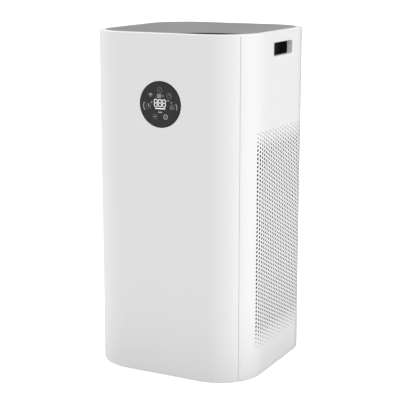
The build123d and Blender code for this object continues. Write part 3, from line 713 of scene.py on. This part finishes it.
def opening(across, up, alongs, heights, below, above, radius, rim, steps=6, beside=3 * mm):
    # a rounded window, with the block of cells that it is cut in
    box = (max(k for k in range(len(across)) if across[k] < alongs[0] - beside),
           min(k for k in range(len(across)) if across[k] > alongs[1] + beside),
           lineIndex(up, heights[0] - below), lineIndex(up, heights[1] + above))
    middle = (sum(alongs) / 2, sum(heights) / 2)
    return dict(box=box, round=rim,
                loop=roundedLoop(middle, alongs[1] - alongs[0], heights[1] - heights[0], radius, steps))


def fieldLines(start, rows):
    return ([start + k * holes["columnPitch"] for k in range(holes["columns"] + 1)],
            [fieldTop - k * holes["halfRow"] for k in range(2 * rows + 2)])


def perforated(name, across, up, cuts, columns, rowLines, footRound=0.0, mirrored=False, facing=1.0):
    field = (lineIndex(across, columns[0]), lineIndex(across, columns[-1]), lineIndex(up, rowLines[-1]),
             lineIndex(up, rowLines[0]))
    flat = flatWall(name, across, up, cuts, field, footRound)
    # the plain half tiles that square off the staggered rows, at the top of odd columns and the foot of even ones
    bm = bmesh.new()
    bm.from_mesh(flat.data)
    for k in range(len(columns) - 1):
        high, low = (rowLines[0], rowLines[1]) if k % 2 else (rowLines[-2], rowLines[-1])
        for depth in (0.0, holes["sheet"]):
            corners = ((columns[k], low), (columns[k + 1], low), (columns[k + 1], high), (columns[k], high))
            bm.faces.new([bm.verts.new((x, depth, z)) for x, z in corners])
    bm.to_mesh(flat.data)
    bm.free()
    if mirrored:
        flat.data.transform(Matrix.Diagonal((-1, 1, 1, 1)))
    useTree(flat, perforatedTree, Tile=tile, Columns=holes["columns"], Rows=len(rowLines) // 2 - 1,
            Column_Pitch=holes["columnPitch"], Half_Row_Pitch=holes["halfRow"],
            Field_Start=-columns[-1] if mirrored else columns[0], Field_Top=fieldTop,
            Fade_Length=holes["fadeLength"], End_Size=holes["endSize"], Facing=facing)
    return flat


def makeFrontPanel():
    lensLow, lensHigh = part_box("display_lens")
    centreZ = (lensLow.z + lensHigh.z) / 2
    radius = (lensHigh.x - lensLow.x) / 2
    patch = radius + 14 * mm
    across = mergeLines(evenLines(-panelEnd, -cornerX, arcStep), evenLines(-cornerX, -patch, 9 * mm),
                        evenLines(-patch, patch, 12 * mm), evenLines(patch, cornerX, 9 * mm),
                        evenLines(cornerX, panelEnd, arcStep))
    up = mergeLines(footLines(body["bottom"]), evenLines(body["bottom"] + 20 * mm, centreZ - patch, 60 * mm),
                    evenLines(centreZ - patch, centreZ + patch, 12 * mm), [centreZ + patch + 40 * mm, panelTop])
    window = dict(box=(lineIndex(across, -patch), lineIndex(across, patch), lineIndex(up, centreZ - patch),
                       lineIndex(up, centreZ + patch)),
                  loop=circleLoop((0, centreZ), radius + 0.3 * mm), round=0.5 * mm)
    flat = flatWall("frontFlat", across, up, [window], footRound=body["footRound"])
    useTree(flat, bendTree)
    finish(settle(flat, "frontPanel"), "front_panel", "shell_white")


slot = dict(sleeveFlange=5 * mm, cupFlange=6 * mm, cupSide=2 * mm, below=12 * mm, above=8 * mm, corner=5 * mm,
            rim=0.9 * mm, portGap=0.3 * mm, portMargin=10 * mm)


def makeSidePanel(name):
    sleeveLow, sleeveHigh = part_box("handle_sleeve_" + name)
    flange, centreAlong = slot["sleeveFlange"], sideStart + cornerY
    heights = (sleeveLow.z + flange, sleeveHigh.z - flange)
    columns, rowLines = fieldLines(sideField, holes["sideRows"])
    extra = [heights[0] - slot["below"], heights[1] + slot["above"]]
    if name == "left":
        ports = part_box("sensor_cover")
        gap, margin = slot["portGap"], slot["portMargin"]
        portHeights = (ports[0].z - gap, ports[1].z + gap)
        extra += [portHeights[0] - margin, portHeights[1] + margin]
    first = seamAt + body["seamGap"] / 2
    across = mergeLines(evenLines(first, sideField, arcStep), columns,
                        evenLines(columns[-1], 2 * centreAlong - first, arcStep))
    up = mergeLines(footLines(body["bottom"]), evenLines(body["bottom"] + 12 * mm, rowLines[-1], 20 * mm), rowLines,
                    extra, [fieldTop + 30 * mm, panelTop])
    alongs = (centreAlong + sleeveLow.y + flange, centreAlong + sleeveHigh.y - flange)
    cuts = [opening(across, up, alongs, heights, slot["below"], slot["above"], slot["corner"], slot["rim"])]
    if name == "left":
        alongs = (centreAlong + ports[0].y - gap, centreAlong + ports[1].y + gap)
        cuts.append(opening(across, up, alongs, portHeights, margin, margin, 0.4 * mm, 0.2 * mm, 2))
    flat = perforated(name + "Flat", across, up, cuts, columns, rowLines, body["footRound"], mirrored=name == "left")
    finish(settle(flat, "sidePanel" + name.capitalize(), weighted=False), "side_panel_" + name, "shell_white")


def makeRearDoor():
    cupLow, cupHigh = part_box("door_cup")
    heights = (cupLow.z + slot["cupFlange"], cupHigh.z - slot["cupFlange"])
    half = cupHigh.x - slot["cupSide"]
    columns, rowLines = fieldLines(doorField, holes["doorRows"])
    across = mergeLines(evenLines(-panelEnd, -cornerX, arcStep), evenLines(-cornerX, columns[0], arcStep), columns,
                        evenLines(columns[-1], cornerX, arcStep), evenLines(cornerX, panelEnd, arcStep))
    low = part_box("rear_door")[0].z
    up = mergeLines([low, low + 10 * mm], rowLines,
                    [fieldTop + 60 * mm, heights[0] - slot["below"], heights[1] + slot["above"], panelTop])
    grip = opening(across, up, (-half, half), heights, slot["below"], slot["above"], slot["corner"], slot["rim"],
                   beside=2 * mm)
    flat = perforated("doorFlat", across, up, [grip], columns, rowLines, facing=-1.0)
    finish(settle(flat, "rearDoor", weighted=False), "rear_door", "shell_white")


def makeRearSkirt():
    skirtLow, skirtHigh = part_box("rear_skirt")
    socketLow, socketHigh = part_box("power_socket")
    gap = 0.3 * mm
    left, right = socketLow.x - gap, socketHigh.x + gap
    low, high = socketLow.z - gap, socketHigh.z + gap
    across = mergeLines(evenLines(-panelEnd, -cornerX, arcStep), [left - 3 * mm, right + 5 * mm],
                        evenLines(right + 5 * mm, cornerX, 24 * mm), evenLines(cornerX, panelEnd, arcStep))
    up = mergeLines(footLines(skirtLow.z), [low - 4 * mm, high + 4 * mm, skirtHigh.z])
    window = dict(box=(lineIndex(across, left - 3 * mm), lineIndex(across, right + 5 * mm),
                       lineIndex(up, low - 4 * mm), lineIndex(up, high + 4 * mm)),
                  loop=roundedLoop(((left + right) / 2, (low + high) / 2), right - left, high - low, 0.5 * mm, 3),
                  round=0.25 * mm)
    flat = flatWall("skirtFlat", across, up, [window], footRound=body["footRound"])
    useTree(flat, bendTree, Facing=-1.0)
    finish(settle(flat, "rearSkirt"), "rear_skirt", "shell_white")


makeFrontPanel()
makeSidePanel("right")
makeSidePanel("left")
makeRearDoor()
makeRearSkirt()
bpy.data.objects.remove(tile, do_unlink=True)
print("stage: shell panels, filter door and skirt")


def stations(arcSteps, flatSteps):
    # centre and turn of each step round the plan, starting at the middle of the front, anticlockwise from above
    found = []
    corners = [(cornerX, -cornerY), (cornerX, cornerY), (-cornerX, cornerY), (-cornerX, -cornerY)]
    for order, (x, y) in enumerate(corners):
        start = pi / 2 * (order - 1)
        found += [(x, y, start + pi / 2 * step / arcSteps) for step in range(arcSteps + 1)]
        nextX, nextY = corners[(order + 1) % 4]
        for step in range(1, flatSteps):
            part = step / flatSteps
            found.append((x + (nextX - x) * part, y + (nextY - y) * part, start + pi / 2))
    return found


around = stations(20, 8)


def rowFrom(inset, z):
    reach = body["cornerRadius"] - inset
    return [(x + reach * cos(turn), y + reach * sin(turn), z) for x, y, turn in around]


def quarterTurn(centreInset, centreZ, radius, start, steps):
    # points of a quarter circle in the section: start 0 faces outwards, 1 upwards
    turns = [pi / 2 * (start + k / steps) for k in range(steps + 1)]
    return [(centreInset - radius * cos(turn), centreZ + radius * sin(turn)) for turn in turns]


frameShape = dict(width=13.2 * mm, edge=2.0 * mm, innerEdge=0.6 * mm, skirtOuter=3.3 * mm, skirtInner=5.5 * mm,
                  skirtDrop=9.0 * mm)


def makeTopFrame():
    top, low = body["top"], body["frameBottom"]
    width, edge, innerEdge = frameShape["width"], frameShape["edge"], frameShape["innerEdge"]
    section = [(0.0, low), (0.0, low + 1.5 * mm)] + quarterTurn(edge, top - edge, edge, 0, 6) + [(width / 2, top)]
    section += quarterTurn(width - innerEdge, top - innerEdge, innerEdge, 1, 3) + [(width, low)]
    inner, outer, foot = frameShape["skirtInner"], frameShape["skirtOuter"], low - frameShape["skirtDrop"]
    section += [(inner, low), (inner, foot), (outer, foot), (outer, low)]
    ring = addObject("frameRing", ringMesh("frameRing", [rowFrom(inset, z) for inset, z in section]))
    finish(settle(ring, "topFrame", sharp=40), "top_frame", "shell_white")


dish = dict(rimInset=13.4 * mm, rimDrop=0.5 * mm, thick=3.0 * mm, mouthRadius=118.3 * mm, ledgeRadius=112.0 * mm,
            collarRadius=121.0 * mm, grilleTop=718.0 * mm, grilleBottom=713.0 * mm, collarLow=710.0 * mm,
            flangeInset=5.9 * mm, flangeLow=730.0 * mm, flangeHigh=732.8 * mm, steps=10, lip=1.2 * mm, sag=0.9 * mm)


def makeDish():
    turns = [atan2(y, x) for x, y, z in rowFrom(dish["rimInset"], 0.0)]
    rim, lip, mouth, thick = dish["rimInset"], dish["lip"], dish["mouthRadius"], dish["thick"]
    rimTop, grilleTop = body["top"] - dish["rimDrop"], dish["grilleTop"]

    def circleRow(radius, z):
        return [(radius * cos(turn), radius * sin(turn), z) for turn in turns]

    def blended(part, topInset, topZ, lowRadius, lowZ):
        # a slight hollow makes the bowl read as one soft surface
        sag = dish["sag"] * sin(pi * part)
        pairs = zip(rowFrom(topInset, topZ), circleRow(lowRadius, lowZ))
        return [(a[0] + (b[0] - a[0]) * part, a[1] + (b[1] - a[1]) * part, a[2] + (b[2] - a[2]) * part - sag)
                for a, b in pairs]

    rows = [rowFrom(rim, dish["flangeHigh"]), rowFrom(rim, rimTop - 0.3 * mm), rowFrom(rim + 0.15 * mm, rimTop),
            rowFrom(rim + 0.4 * mm, rimTop)]
    rows += [blended(k / dish["steps"], rim + 0.5 * mm, rimTop, mouth + lip, grilleTop + 0.15 * mm)
             for k in range(dish["steps"] + 1)]
    rows += [circleRow(radius, z) for radius, z in (
        (mouth + lip * 0.4, grilleTop - 0.1 * mm), (mouth, grilleTop - 0.7 * mm), (mouth, dish["grilleBottom"]),
        (dish["ledgeRadius"], dish["grilleBottom"]), (dish["ledgeRadius"], dish["collarLow"]),
        (dish["collarRadius"], dish["collarLow"]), (dish["collarRadius"], grilleTop - thick))]
    rows += [blended(1 - k / 4, rim, rimTop - thick - 1.5 * mm, dish["collarRadius"], grilleTop - thick)
             for k in range(1, 4)]
    rows += [rowFrom(rim + 1.5 * mm, dish["flangeLow"]), rowFrom(dish["flangeInset"], dish["flangeLow"]),
             rowFrom(dish["flangeInset"], dish["flangeHigh"])]
    bowl = addObject("dishBowl", ringMesh("dishBowl", rows))
    finish(settle(bowl, "outletDish", sharp=40), "outlet_dish", "dish_grey")


makeTopFrame()
makeDish()
print("stage: top frame and dish")

grille = dict(outerRadius=116.0 * mm, outerWidth=4.0 * mm, hubRadius=25.0 * mm, hubWidth=4.0 * mm, firstRing=27.0 * mm,
              ringPitch=7.909 * mm, rings=10, ringWidth=2.0 * mm, spokes=8, spokeWidth=2.4 * mm,
              low=713.0 * mm, high=718.0 * mm, spokeDrop=1.0 * mm, edge=0.7 * mm)


def makeGrilleTree():
    tree, given, result = treeWithInputs("outletGrille", {
        "Outer Radius": grille["outerRadius"], "Outer Width": grille["outerWidth"],
        "Hub Radius": grille["hubRadius"], "Hub Width": grille["hubWidth"], "First Ring": grille["firstRing"],
        "Ring Pitch": grille["ringPitch"], "Ring Count": grille["rings"], "Ring Width": grille["ringWidth"],
        "Spoke Count": grille["spokes"], "Spoke Width": grille["spokeWidth"], "Low": grille["low"],
        "High": grille["high"], "Spoke Drop": grille["spokeDrop"], "Edge": grille["edge"], "Material": "Material"})
    height = given["High"] - given["Low"]
    middle = (given["High"] + given["Low"]) / 2.0
    tall = height - given["Spoke Drop"]

    def bar(path, width, barHeight):
        section = addNode(tree, "GeometryNodeCurvePrimitiveQuadrilateral", Width=width, Height=barHeight)
        rounded = tree.nodes.new("GeometryNodeFilletCurve")
        rounded.mode = "POLY"
        for label, value in (("Curve", section.outputs[0]), ("Count", 3), ("Radius", given["Edge"])):
            plug(value, rounded.inputs[label])
        made = addNode(tree, "GeometryNodeCurveToMesh", Curve=path, Profile_Curve=rounded.outputs[0], Fill_Caps=True)
        return made.outputs[0]

    def circle(radius, count):
        return addNode(tree, "GeometryNodeCurvePrimitiveCircle", Resolution=count, Radius=radius).outputs[0]

    def repeated(count, shape, **values):
        line = addNode(tree, "GeometryNodeMeshLine", Count=count, Offset=(0, 0, 0))
        return addNode(tree, "GeometryNodeInstanceOnPoints", Points=line.outputs[0], Instance=shape,
                       **values).outputs[0]

    def lifted(geometry, z):
        return addNode(tree, "GeometryNodeTransform", Geometry=geometry, Translation=combined(tree, z=z)).outputs[0]

    radius = given["First Ring"] + (index(tree) + 1.0) * given["Ring Pitch"]
    loops = repeated(given["Ring Count"], circle(1.0, 96), Scale=combined(tree, radius, radius, radius))
    loose = addNode(tree, "GeometryNodeRealizeInstances", Geometry=loops)
    rings = lifted(bar(loose.outputs[0], given["Ring Width"], height), middle)
    outer = lifted(bar(circle(given["Outer Radius"], 128), given["Outer Width"], height), middle)
    hub = lifted(bar(circle(given["Hub Radius"], 64), given["Hub Width"], height), middle)
    line = addNode(tree, "GeometryNodeCurvePrimitiveLine", Start=combined(tree, given["Hub Radius"]),
                   End=combined(tree, given["Outer Radius"]))
    spoke = bar(line.outputs[0], given["Spoke Width"], tall)
    turn = combined(tree, z=index(tree) / given["Spoke Count"] * (2 * pi))
    spokes = lifted(repeated(given["Spoke Count"], spoke, Rotation=turn), given["Low"] + tall / 2.0)
    joined = tree.nodes.new("GeometryNodeJoinGeometry")
    for part in (rings, outer, hub, spokes):
        plug(part, joined.inputs[0])
    real = addNode(tree, "GeometryNodeRealizeInstances", Geometry=joined.outputs[0])
    painted = addNode(tree, "GeometryNodeSetMaterial", Geometry=real.outputs[0], Material=given["Material"])
    plug(painted.outputs[0], result)
    return tree


def makeGrille():
    holder = addObject("grilleHolder", bpy.data.meshes.new("grilleHolder"))
    useTree(holder, makeGrilleTree(), Material=finishes["vent_black"])
    finish(settle(holder, "outletGrille", sharp=50, weighted=False), "outlet_grille", "vent_black")


def latheMesh(name, section, count=96, centre=(0.0, 0.0)):
    # section is a list of (radius, z) from the lower pole round to the upper pole; a radius of 0 closes it
    bm = bmesh.new()
    loops = []
    for radius, z in section:
        ring = circleLoop(centre, radius, count) if radius else [centre]
        loops.append([bm.verts.new((x, y, z)) for x, y in ring])
    for low, high in zip(loops, loops[1:]):
        if len(low) == len(high):
            joinLoops(bm, low, high)
            continue
        for k in range(count):
            n = (k + 1) % count
            bm.faces.new((low[0], high[n], high[k]) if len(low) == 1 else (low[k], low[n], high[0]))
    return meshFrom(bm, name)


cap = dict(radius=22.8 * mm, low=713.0 * mm, high=718.0 * mm, edge=1.0 * mm, crown=0.6 * mm, groove=19.0 * mm,
           grooveRim=0.7 * mm, grooveFloor=0.3 * mm, grooveDepth=0.5 * mm, lowEdge=0.5 * mm)


def makeGrilleCap():
    r, top, low, groove = cap["radius"], cap["high"], cap["low"], cap["groove"]
    edge, crown, lowEdge = cap["edge"], cap["crown"], cap["lowEdge"]

    def rise(radius):
        return top - crown * (radius / r) ** 2

    section = [(0, low), (r * 0.5, low), (r - lowEdge, low), (r, low + lowEdge), (r, top - edge - crown)]
    for k in range(1, 5):
        turn = pi / 2 * k / 4
        section.append((r - edge * (1 - cos(turn)), top - crown - edge * (1 - sin(turn))))
    section += [(groove + offset, rise(groove) - drop) for offset, drop in (
        (cap["grooveRim"], 0), (cap["grooveFloor"], cap["grooveDepth"]), (-cap["grooveFloor"], cap["grooveDepth"]),
        (-cap["grooveRim"], 0))]
    section += [(groove * part, rise(groove * part)) for part in (0.85, 0.6, 0.35, 0.15)] + [(0, top)]
    dome = addObject("capDome", latheMesh("capDome", section))
    finish(settle(dome, "grilleCap", sharp=50), "grille_cap", "vent_black")


makeGrille()
makeGrilleCap()
print("stage: outlet grille")

display = dict(radius=48.4 * mm, front=-189.7 * mm, back=-187.0 * mm, edge=0.5 * mm, ring=46.9 * mm, ringWidth=1.5 * mm,
               ringDepth=0.7 * mm, ringEdge=0.15 * mm, markLift=0.05 * mm)
lensLow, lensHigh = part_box("display_lens")
lensZ = (lensLow.z + lensHigh.z) / 2


def makeLens():
    r, front, back, edge = display["radius"], display["front"], display["back"], display["edge"]
    section = [(0, back), (r * 0.5, back), (r - 0.2 * mm, back), (r, back - 0.2 * mm), (r, front + edge)]
    for k in range(1, 6):
        turn = pi / 2 * k / 5
        section.append((r - edge * (1 - cos(turn)), front + edge * (1 - sin(turn))))
    ring, half, deep, rim = display["ring"], display["ringWidth"] / 2, display["ringDepth"], display["ringEdge"]
    section += [(ring + half + rim, front), (ring + half, front + deep), (ring - half, front + deep),
                (ring - half - rim, front), (ring - 3 * mm, front), (r * 0.6, front), (r * 0.3, front), (0, front)]
    mesh = latheMesh("lensDisc", section)
    mesh.transform(Matrix(((1, 0, 0, 0), (0, 0, 1, 0), (0, 1, 0, lensZ), (0, 0, 0, 1))))
    finish(settle(addObject("lensDisc", mesh), "displayLens", sharp=50), "display_lens", "display_black")


makeLens()
print("stage: display lens")


# marks on the glass: u to the right and v upwards, in radii of the glass, from its centre
class MarkSheet:
    def __init__(self):
        self.bm = bmesh.new()

    def corners(self, points, side):
        # side -1 is the face towards the viewer, 1 the face in the glass
        y = display["front"] + side * display["markLift"]
        return [self.bm.verts.new((u * display["radius"], y, lensZ + v * display["radius"])) for u, v in points]

    def plate(self, outline):
        front, back = self.corners(outline, -1), self.corners(outline, 1)
        self.bm.faces.new(front)
        self.bm.faces.new(back[::-1])
        joinLoops(self.bm, back, front)

    def stroke(self, points, width, closed=False):
        left, right = [], []
        count = len(points)
        for k, point in enumerate(points):
            before = points[(k - 1) % count] if closed or k else point
            after = points[(k + 1) % count] if closed or k < count - 1 else point
            run = Vector((after[0] - before[0], after[1] - before[1])).normalized() * (width / 2)
            left.append((point[0] - run.y, point[1] + run.x))
            right.append((point[0] + run.y, point[1] - run.x))
        if not closed:
            self.plate(left + right[::-1])
            return
        rows = [self.corners(line, side) for side in (-1, 1) for line in (left, right)]
        for first, second in ((1, 0), (3, 1), (2, 3), (0, 2)):
            joinLoops(self.bm, rows[first], rows[second])

    def arc(self, centre, radius, start, end, width, steps=20):
        self.stroke(arcPoints(centre, radius, [start + (end - start) * k / steps for k in range(steps + 1)]), width)

    def ring(self, centre, radius, width):
        self.stroke(circleLoop(centre, radius, 32), width, closed=True)

    def dot(self, centre, radius):
        self.plate(circleLoop(centre, radius, 16))

    def digit(self, centre, width, height, thick):
        # an eight made of seven bars
        w, h, gap = width / 2, height / 4, thick * 0.12
        for a, b in (((-w, 2 * h), (w, 2 * h)), ((-w, 0), (w, 0)), ((-w, -2 * h), (w, -2 * h)), ((-w, 2 * h), (-w, 0)),
                     ((w, 2 * h), (w, 0)), ((-w, 0), (-w, -2 * h)), ((w, 0), (w, -2 * h))):
            run = Vector((b[0] - a[0], b[1] - a[1])).normalized()
            side = Vector((-run.y, run.x)) * thick / 2
            first, last = Vector(a) + run * gap, Vector(b) - run * gap
            outline = (first, first + run * thick / 2 + side, last - run * thick / 2 + side, last,
                       last - run * thick / 2 - side, first + run * thick / 2 - side)
            self.plate([(centre[0] + p.x, centre[1] + p.y) for p in outline])

    def done(self, name, material):
        flat = addObject(name + "Flat", meshFrom(self.bm, name))
        dress(settle(flat, name, weighted=False), "cabinet", "display_black", material=material)


def arcPoints(centre, radius, degrees):
    return [(centre[0] + radius * cos(radians(turn)), centre[1] + radius * sin(radians(turn))) for turn in degrees]


def makeBrightMarks():
    sheet = MarkSheet()
    for u in (-0.215, -0.015, 0.185):
        sheet.digit((u, 0.06), 0.145, 0.30, 0.038)
    sheet.stroke([(-0.245, -0.175), (0.245, -0.175)], 0.05)
    sheet.done("litDigits", litMark)


def makeMiddleMarks():
    sheet = MarkSheet()
    for u in (-0.10, 0.0):
        sheet.digit((u, 0.365), 0.066, 0.15, 0.030)
    sheet.arc((0.13, 0.375), 0.028, 0, 330, 0.02, 12)
    sheet.stroke([(-0.10, -0.335), (0.09, -0.335)], 0.055)
    sheet.stroke([(0.33, 0.205), (0.37, 0.175), (0.45, 0.185)], 0.035)
    sheet.dot((-0.42, 0.075), 0.034)
    sheet.dot((0.54, 0.105), 0.028)
    # wireless sign
    for radius in (0.06, 0.11):
        sheet.arc((-0.47, 0.335), radius, 35, 145, 0.032, 12)
    sheet.dot((-0.47, 0.335), 0.026)
    # clock hands
    sheet.stroke([(-0.575, 0.0), (-0.575, -0.085), (-0.52, -0.115)], 0.036)
    # fan blades
    for turn in (90, 210, 330):
        sheet.arc(arcPoints((0.57, -0.09), 0.032, [turn])[0], 0.032, turn - 80, turn + 80, 0.022, 8)
    # scales beside the clock and the fan
    for turn in (150, 172, 194, 216):
        (u, v), length = arcPoints((-0.575, -0.09), 0.245, [turn])[0], 0.075
        along = (-sin(radians(turn)) * length / 2, cos(radians(turn)) * length / 2)
        sheet.stroke([(u - along[0], v - along[1]), (u + along[0], v + along[1])], 0.045)
    sheet.arc((0.57, -0.09), 0.235, -28, 42, 0.036, 14)
    sheet.stroke([(-0.31, -0.525), (-0.21, -0.525)], 0.036)
    sheet.ring((0.26, -0.52), 0.092, 0.036)
    sheet.dot((0.26, -0.52), 0.022)
    sheet.done("softMarks", softMark)


def makeDimMarks():
    sheet = MarkSheet()
    sheet.ring((-0.02, 0.615), 0.115, 0.026)
    sheet.dot((-0.02, 0.615), 0.034)
    sheet.ring((0.44, 0.395), 0.115, 0.024)
    sheet.plate(arcPoints((0.44, 0.40), 0.075, range(-70, 161, 10))
                + arcPoints((0.405, 0.365), 0.062, range(140, -61, -10)))
    sheet.ring((-0.575, -0.09), 0.115, 0.022)
    sheet.ring((0.57, -0.09), 0.112, 0.024)
    sheet.ring((-0.26, -0.52), 0.106, 0.024)
    sheet.done("dimMarks", dimMark)


makeBrightMarks()
makeMiddleMarks()
makeDimMarks()
print("stage: display marks")


def platePiece(name, outline, cuts, low, high, edge, place):
    # a flat plate with windows, rounded along the edges of its outer face; place turns (a, b, depth) into metres
    bm = bmesh.new()
    faces = []
    for depth in (low, high):
        faces.append([[bm.verts.new((a, b, depth)) for a, b in ring] for ring in [outline] + cuts])
        fillBetween(bm, *faces[-1])
    for first, second in zip(*faces):
        joinLoops(bm, first, second)
    bmesh.ops.recalc_face_normals(bm, faces=bm.faces)
    roundRims(bm, faces[1], edge)
    for vert in bm.verts:
        vert.co = place(*vert.co)
    return addObject(name, meshFrom(bm, name))


sensor = dict(louvres=5, louvreHeight=2.2 * mm, louvrePitch=5.5 * mm, firstLouvre=9.7 * mm, sideMargin=8 * mm,
              edge=0.3 * mm)


def makeSensorCover():
    low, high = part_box("sensor_cover")
    middle, tall = (low + high) / 2, sensor["louvreHeight"]
    outline = roundedLoop((middle.y, middle.z), high.y - low.y, high.z - low.z, 0.5 * mm, 2)
    heights = [low.z + sensor["firstLouvre"] + k * sensor["louvrePitch"] + tall / 2 for k in range(sensor["louvres"])]
    cuts = [roundedLoop((middle.y, z), high.y - low.y - 2 * sensor["sideMargin"], tall, tall / 2 - 0.05 * mm, 4)
            for z in heights]
    plate = platePiece("coverPlate", outline, cuts, -high.x, -low.x, sensor["edge"],
                       lambda a, b, depth: (-depth, a, b))
    finish(settle(plate, "sensorCover", weighted=False), "sensor_cover", "shell_white")


foot = dict(radius=15 * mm, grooves=(4.0 * mm, 7.0 * mm, 10.0 * mm), grooveWidth=1.2 * mm, grooveDepth=0.6 * mm,
            edge=1.0 * mm)


def makeFeet():
    low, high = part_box("feet")
    radius, edge, half, floor = foot["radius"], foot["edge"], foot["grooveWidth"] / 2, low.z + foot["grooveDepth"]
    section = [(0, low.z)]
    for groove in foot["grooves"]:
        section += [(groove - half, low.z), (groove - half * 0.7, floor), (groove + half * 0.7, floor),
                    (groove + half, low.z)]
    for k in range(5):
        turn = pi / 2 * k / 4
        section.append((radius - edge * (1 - sin(turn)), low.z + edge * (1 - cos(turn))))
    section += [(radius, high.z - 0.3 * mm), (radius - 0.3 * mm, high.z), (radius / 2, high.z), (0, high.z)]
    bm = bmesh.new()
    for sx in (-1, 1):
        for sy in (-1, 1):
            bm.from_mesh(latheMesh("foot", section, 48, (sx * (high.x - radius), sy * (high.y - radius))))
    pads = addObject("footPads", meshFrom(bm, "footPads"))
    finish(settle(pads, "rubberFeet", sharp=40), "feet", "foot_rubber")


strap = dict(ribs=5, firstRib=22 * mm, ribPitch=5.0 * mm, ribHeight=0.7 * mm, ribLength=28 * mm, ribHalf=1.2 * mm,
             sink=0.1 * mm, corner=6 * mm, eyeDrop=14 * mm, eye=(24 * mm, 8 * mm, 3.9 * mm), edge=0.3 * mm)


def makePullTab():
    low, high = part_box("filter_pull_tab")
    middle = (low + high) / 2
    outline = roundedLoop((middle.x, middle.z), high.x - low.x, high.z - low.z, strap["corner"])
    eye = roundedLoop((middle.x, high.z - strap["eyeDrop"]), *strap["eye"])
    back = high.y - strap["ribHeight"]
    plate = platePiece("tabPlate", outline, [eye], low.y, back, strap["edge"], lambda a, b, depth: (a, depth, b))
    bm = bmesh.new()
    bm.from_mesh(plate.data)
    turns = [pi * step / 6 for step in range(7)]
    seat, rise = back - strap["sink"], strap["ribHeight"] + strap["sink"]
    for k in range(strap["ribs"]):
        z = low.z + strap["firstRib"] + k * strap["ribPitch"]
        loops = [[bm.verts.new((middle.x + x * strap["ribLength"] / 2, seat + rise * sin(turn) * shrink,
                                z - strap["ribHalf"] * cos(turn) * shrink)) for turn in turns]
                 for x, shrink in ((-1, 0.2), (-0.96, 1.0), (0.96, 1.0), (1, 0.2))]
        for first, second in zip(loops, loops[1:]):
            joinLoops(bm, first, second)
        bm.faces.new(loops[0])
        bm.faces.new(loops[-1][::-1])
    bm.to_mesh(plate.data)
    bm.free()
    finish(settle(plate, "pullTab", sharp=45, weighted=False), "filter_pull_tab", "tab_plastic")


# dark sheets close behind the holes: painted shade for the deep, unlit interior that shows through them
holeShadeSheet = dict(inset=2.2 * mm, thickness=0.4 * mm, spare=0.6 * mm, step=7 * mm)


def bodyPoint(along, inset):
    # along is the distance round the plan from the middle of the front, to the right of it
    reach = body["cornerRadius"] - inset
    if along < cornerX:
        return along, -cornerY - reach
    if along < sideStart:
        turn = (along - cornerX) / body["cornerRadius"]
        return cornerX + reach * sin(turn), -cornerY - reach * cos(turn)
    if along < sideEnd:
        return cornerX + reach, -cornerY + along - sideStart
    turn = (along - sideEnd) / body["cornerRadius"]
    return cornerX + reach * cos(turn), cornerY + reach * sin(turn)


def leftPoint(along, inset):
    x, y = bodyPoint(along, inset)
    return -x, y


def backPoint(along, inset):
    x, y = bodyPoint(abs(along), inset)
    return x if along > 0 else -x, -y


def makeHoleShadeSheet(name, home, start, rows, place):
    # a dark sheet just behind the holes of one panel: painted shade that stands in for the dark interior seen through
    # the holes
    spare, inset = holeShadeSheet["spare"], holeShadeSheet["inset"]
    top = fieldTop + spare
    bottom = top - (2 * rows + 1) * holes["halfRow"] - 2 * spare
    loops = []
    for along in evenLines(start - spare, start + holes["columns"] * holes["columnPitch"] + spare, holeShadeSheet["step"]):
        front, back = place(along, inset), place(along, inset + holeShadeSheet["thickness"])
        loops.append([(*front, bottom), (*back, bottom), (*back, top), (*front, top)])
    dress(addObject(name, ringMesh(name, loops, closedProfile=False)), home, "prefilter_net")


makeSensorCover()
makeFeet()
makePullTab()
makeHoleShadeSheet("dustNetRight", "cabinet", sideField, holes["sideRows"], bodyPoint)
makeHoleShadeSheet("dustNetLeft", "cabinet", sideField, holes["sideRows"], leftPoint)
makeHoleShadeSheet("dustNetDoor", "filter_door", doorField, holes["doorRows"], backPoint)
print("stage: sensor cover, feet, pull tab and hole shade sheets")
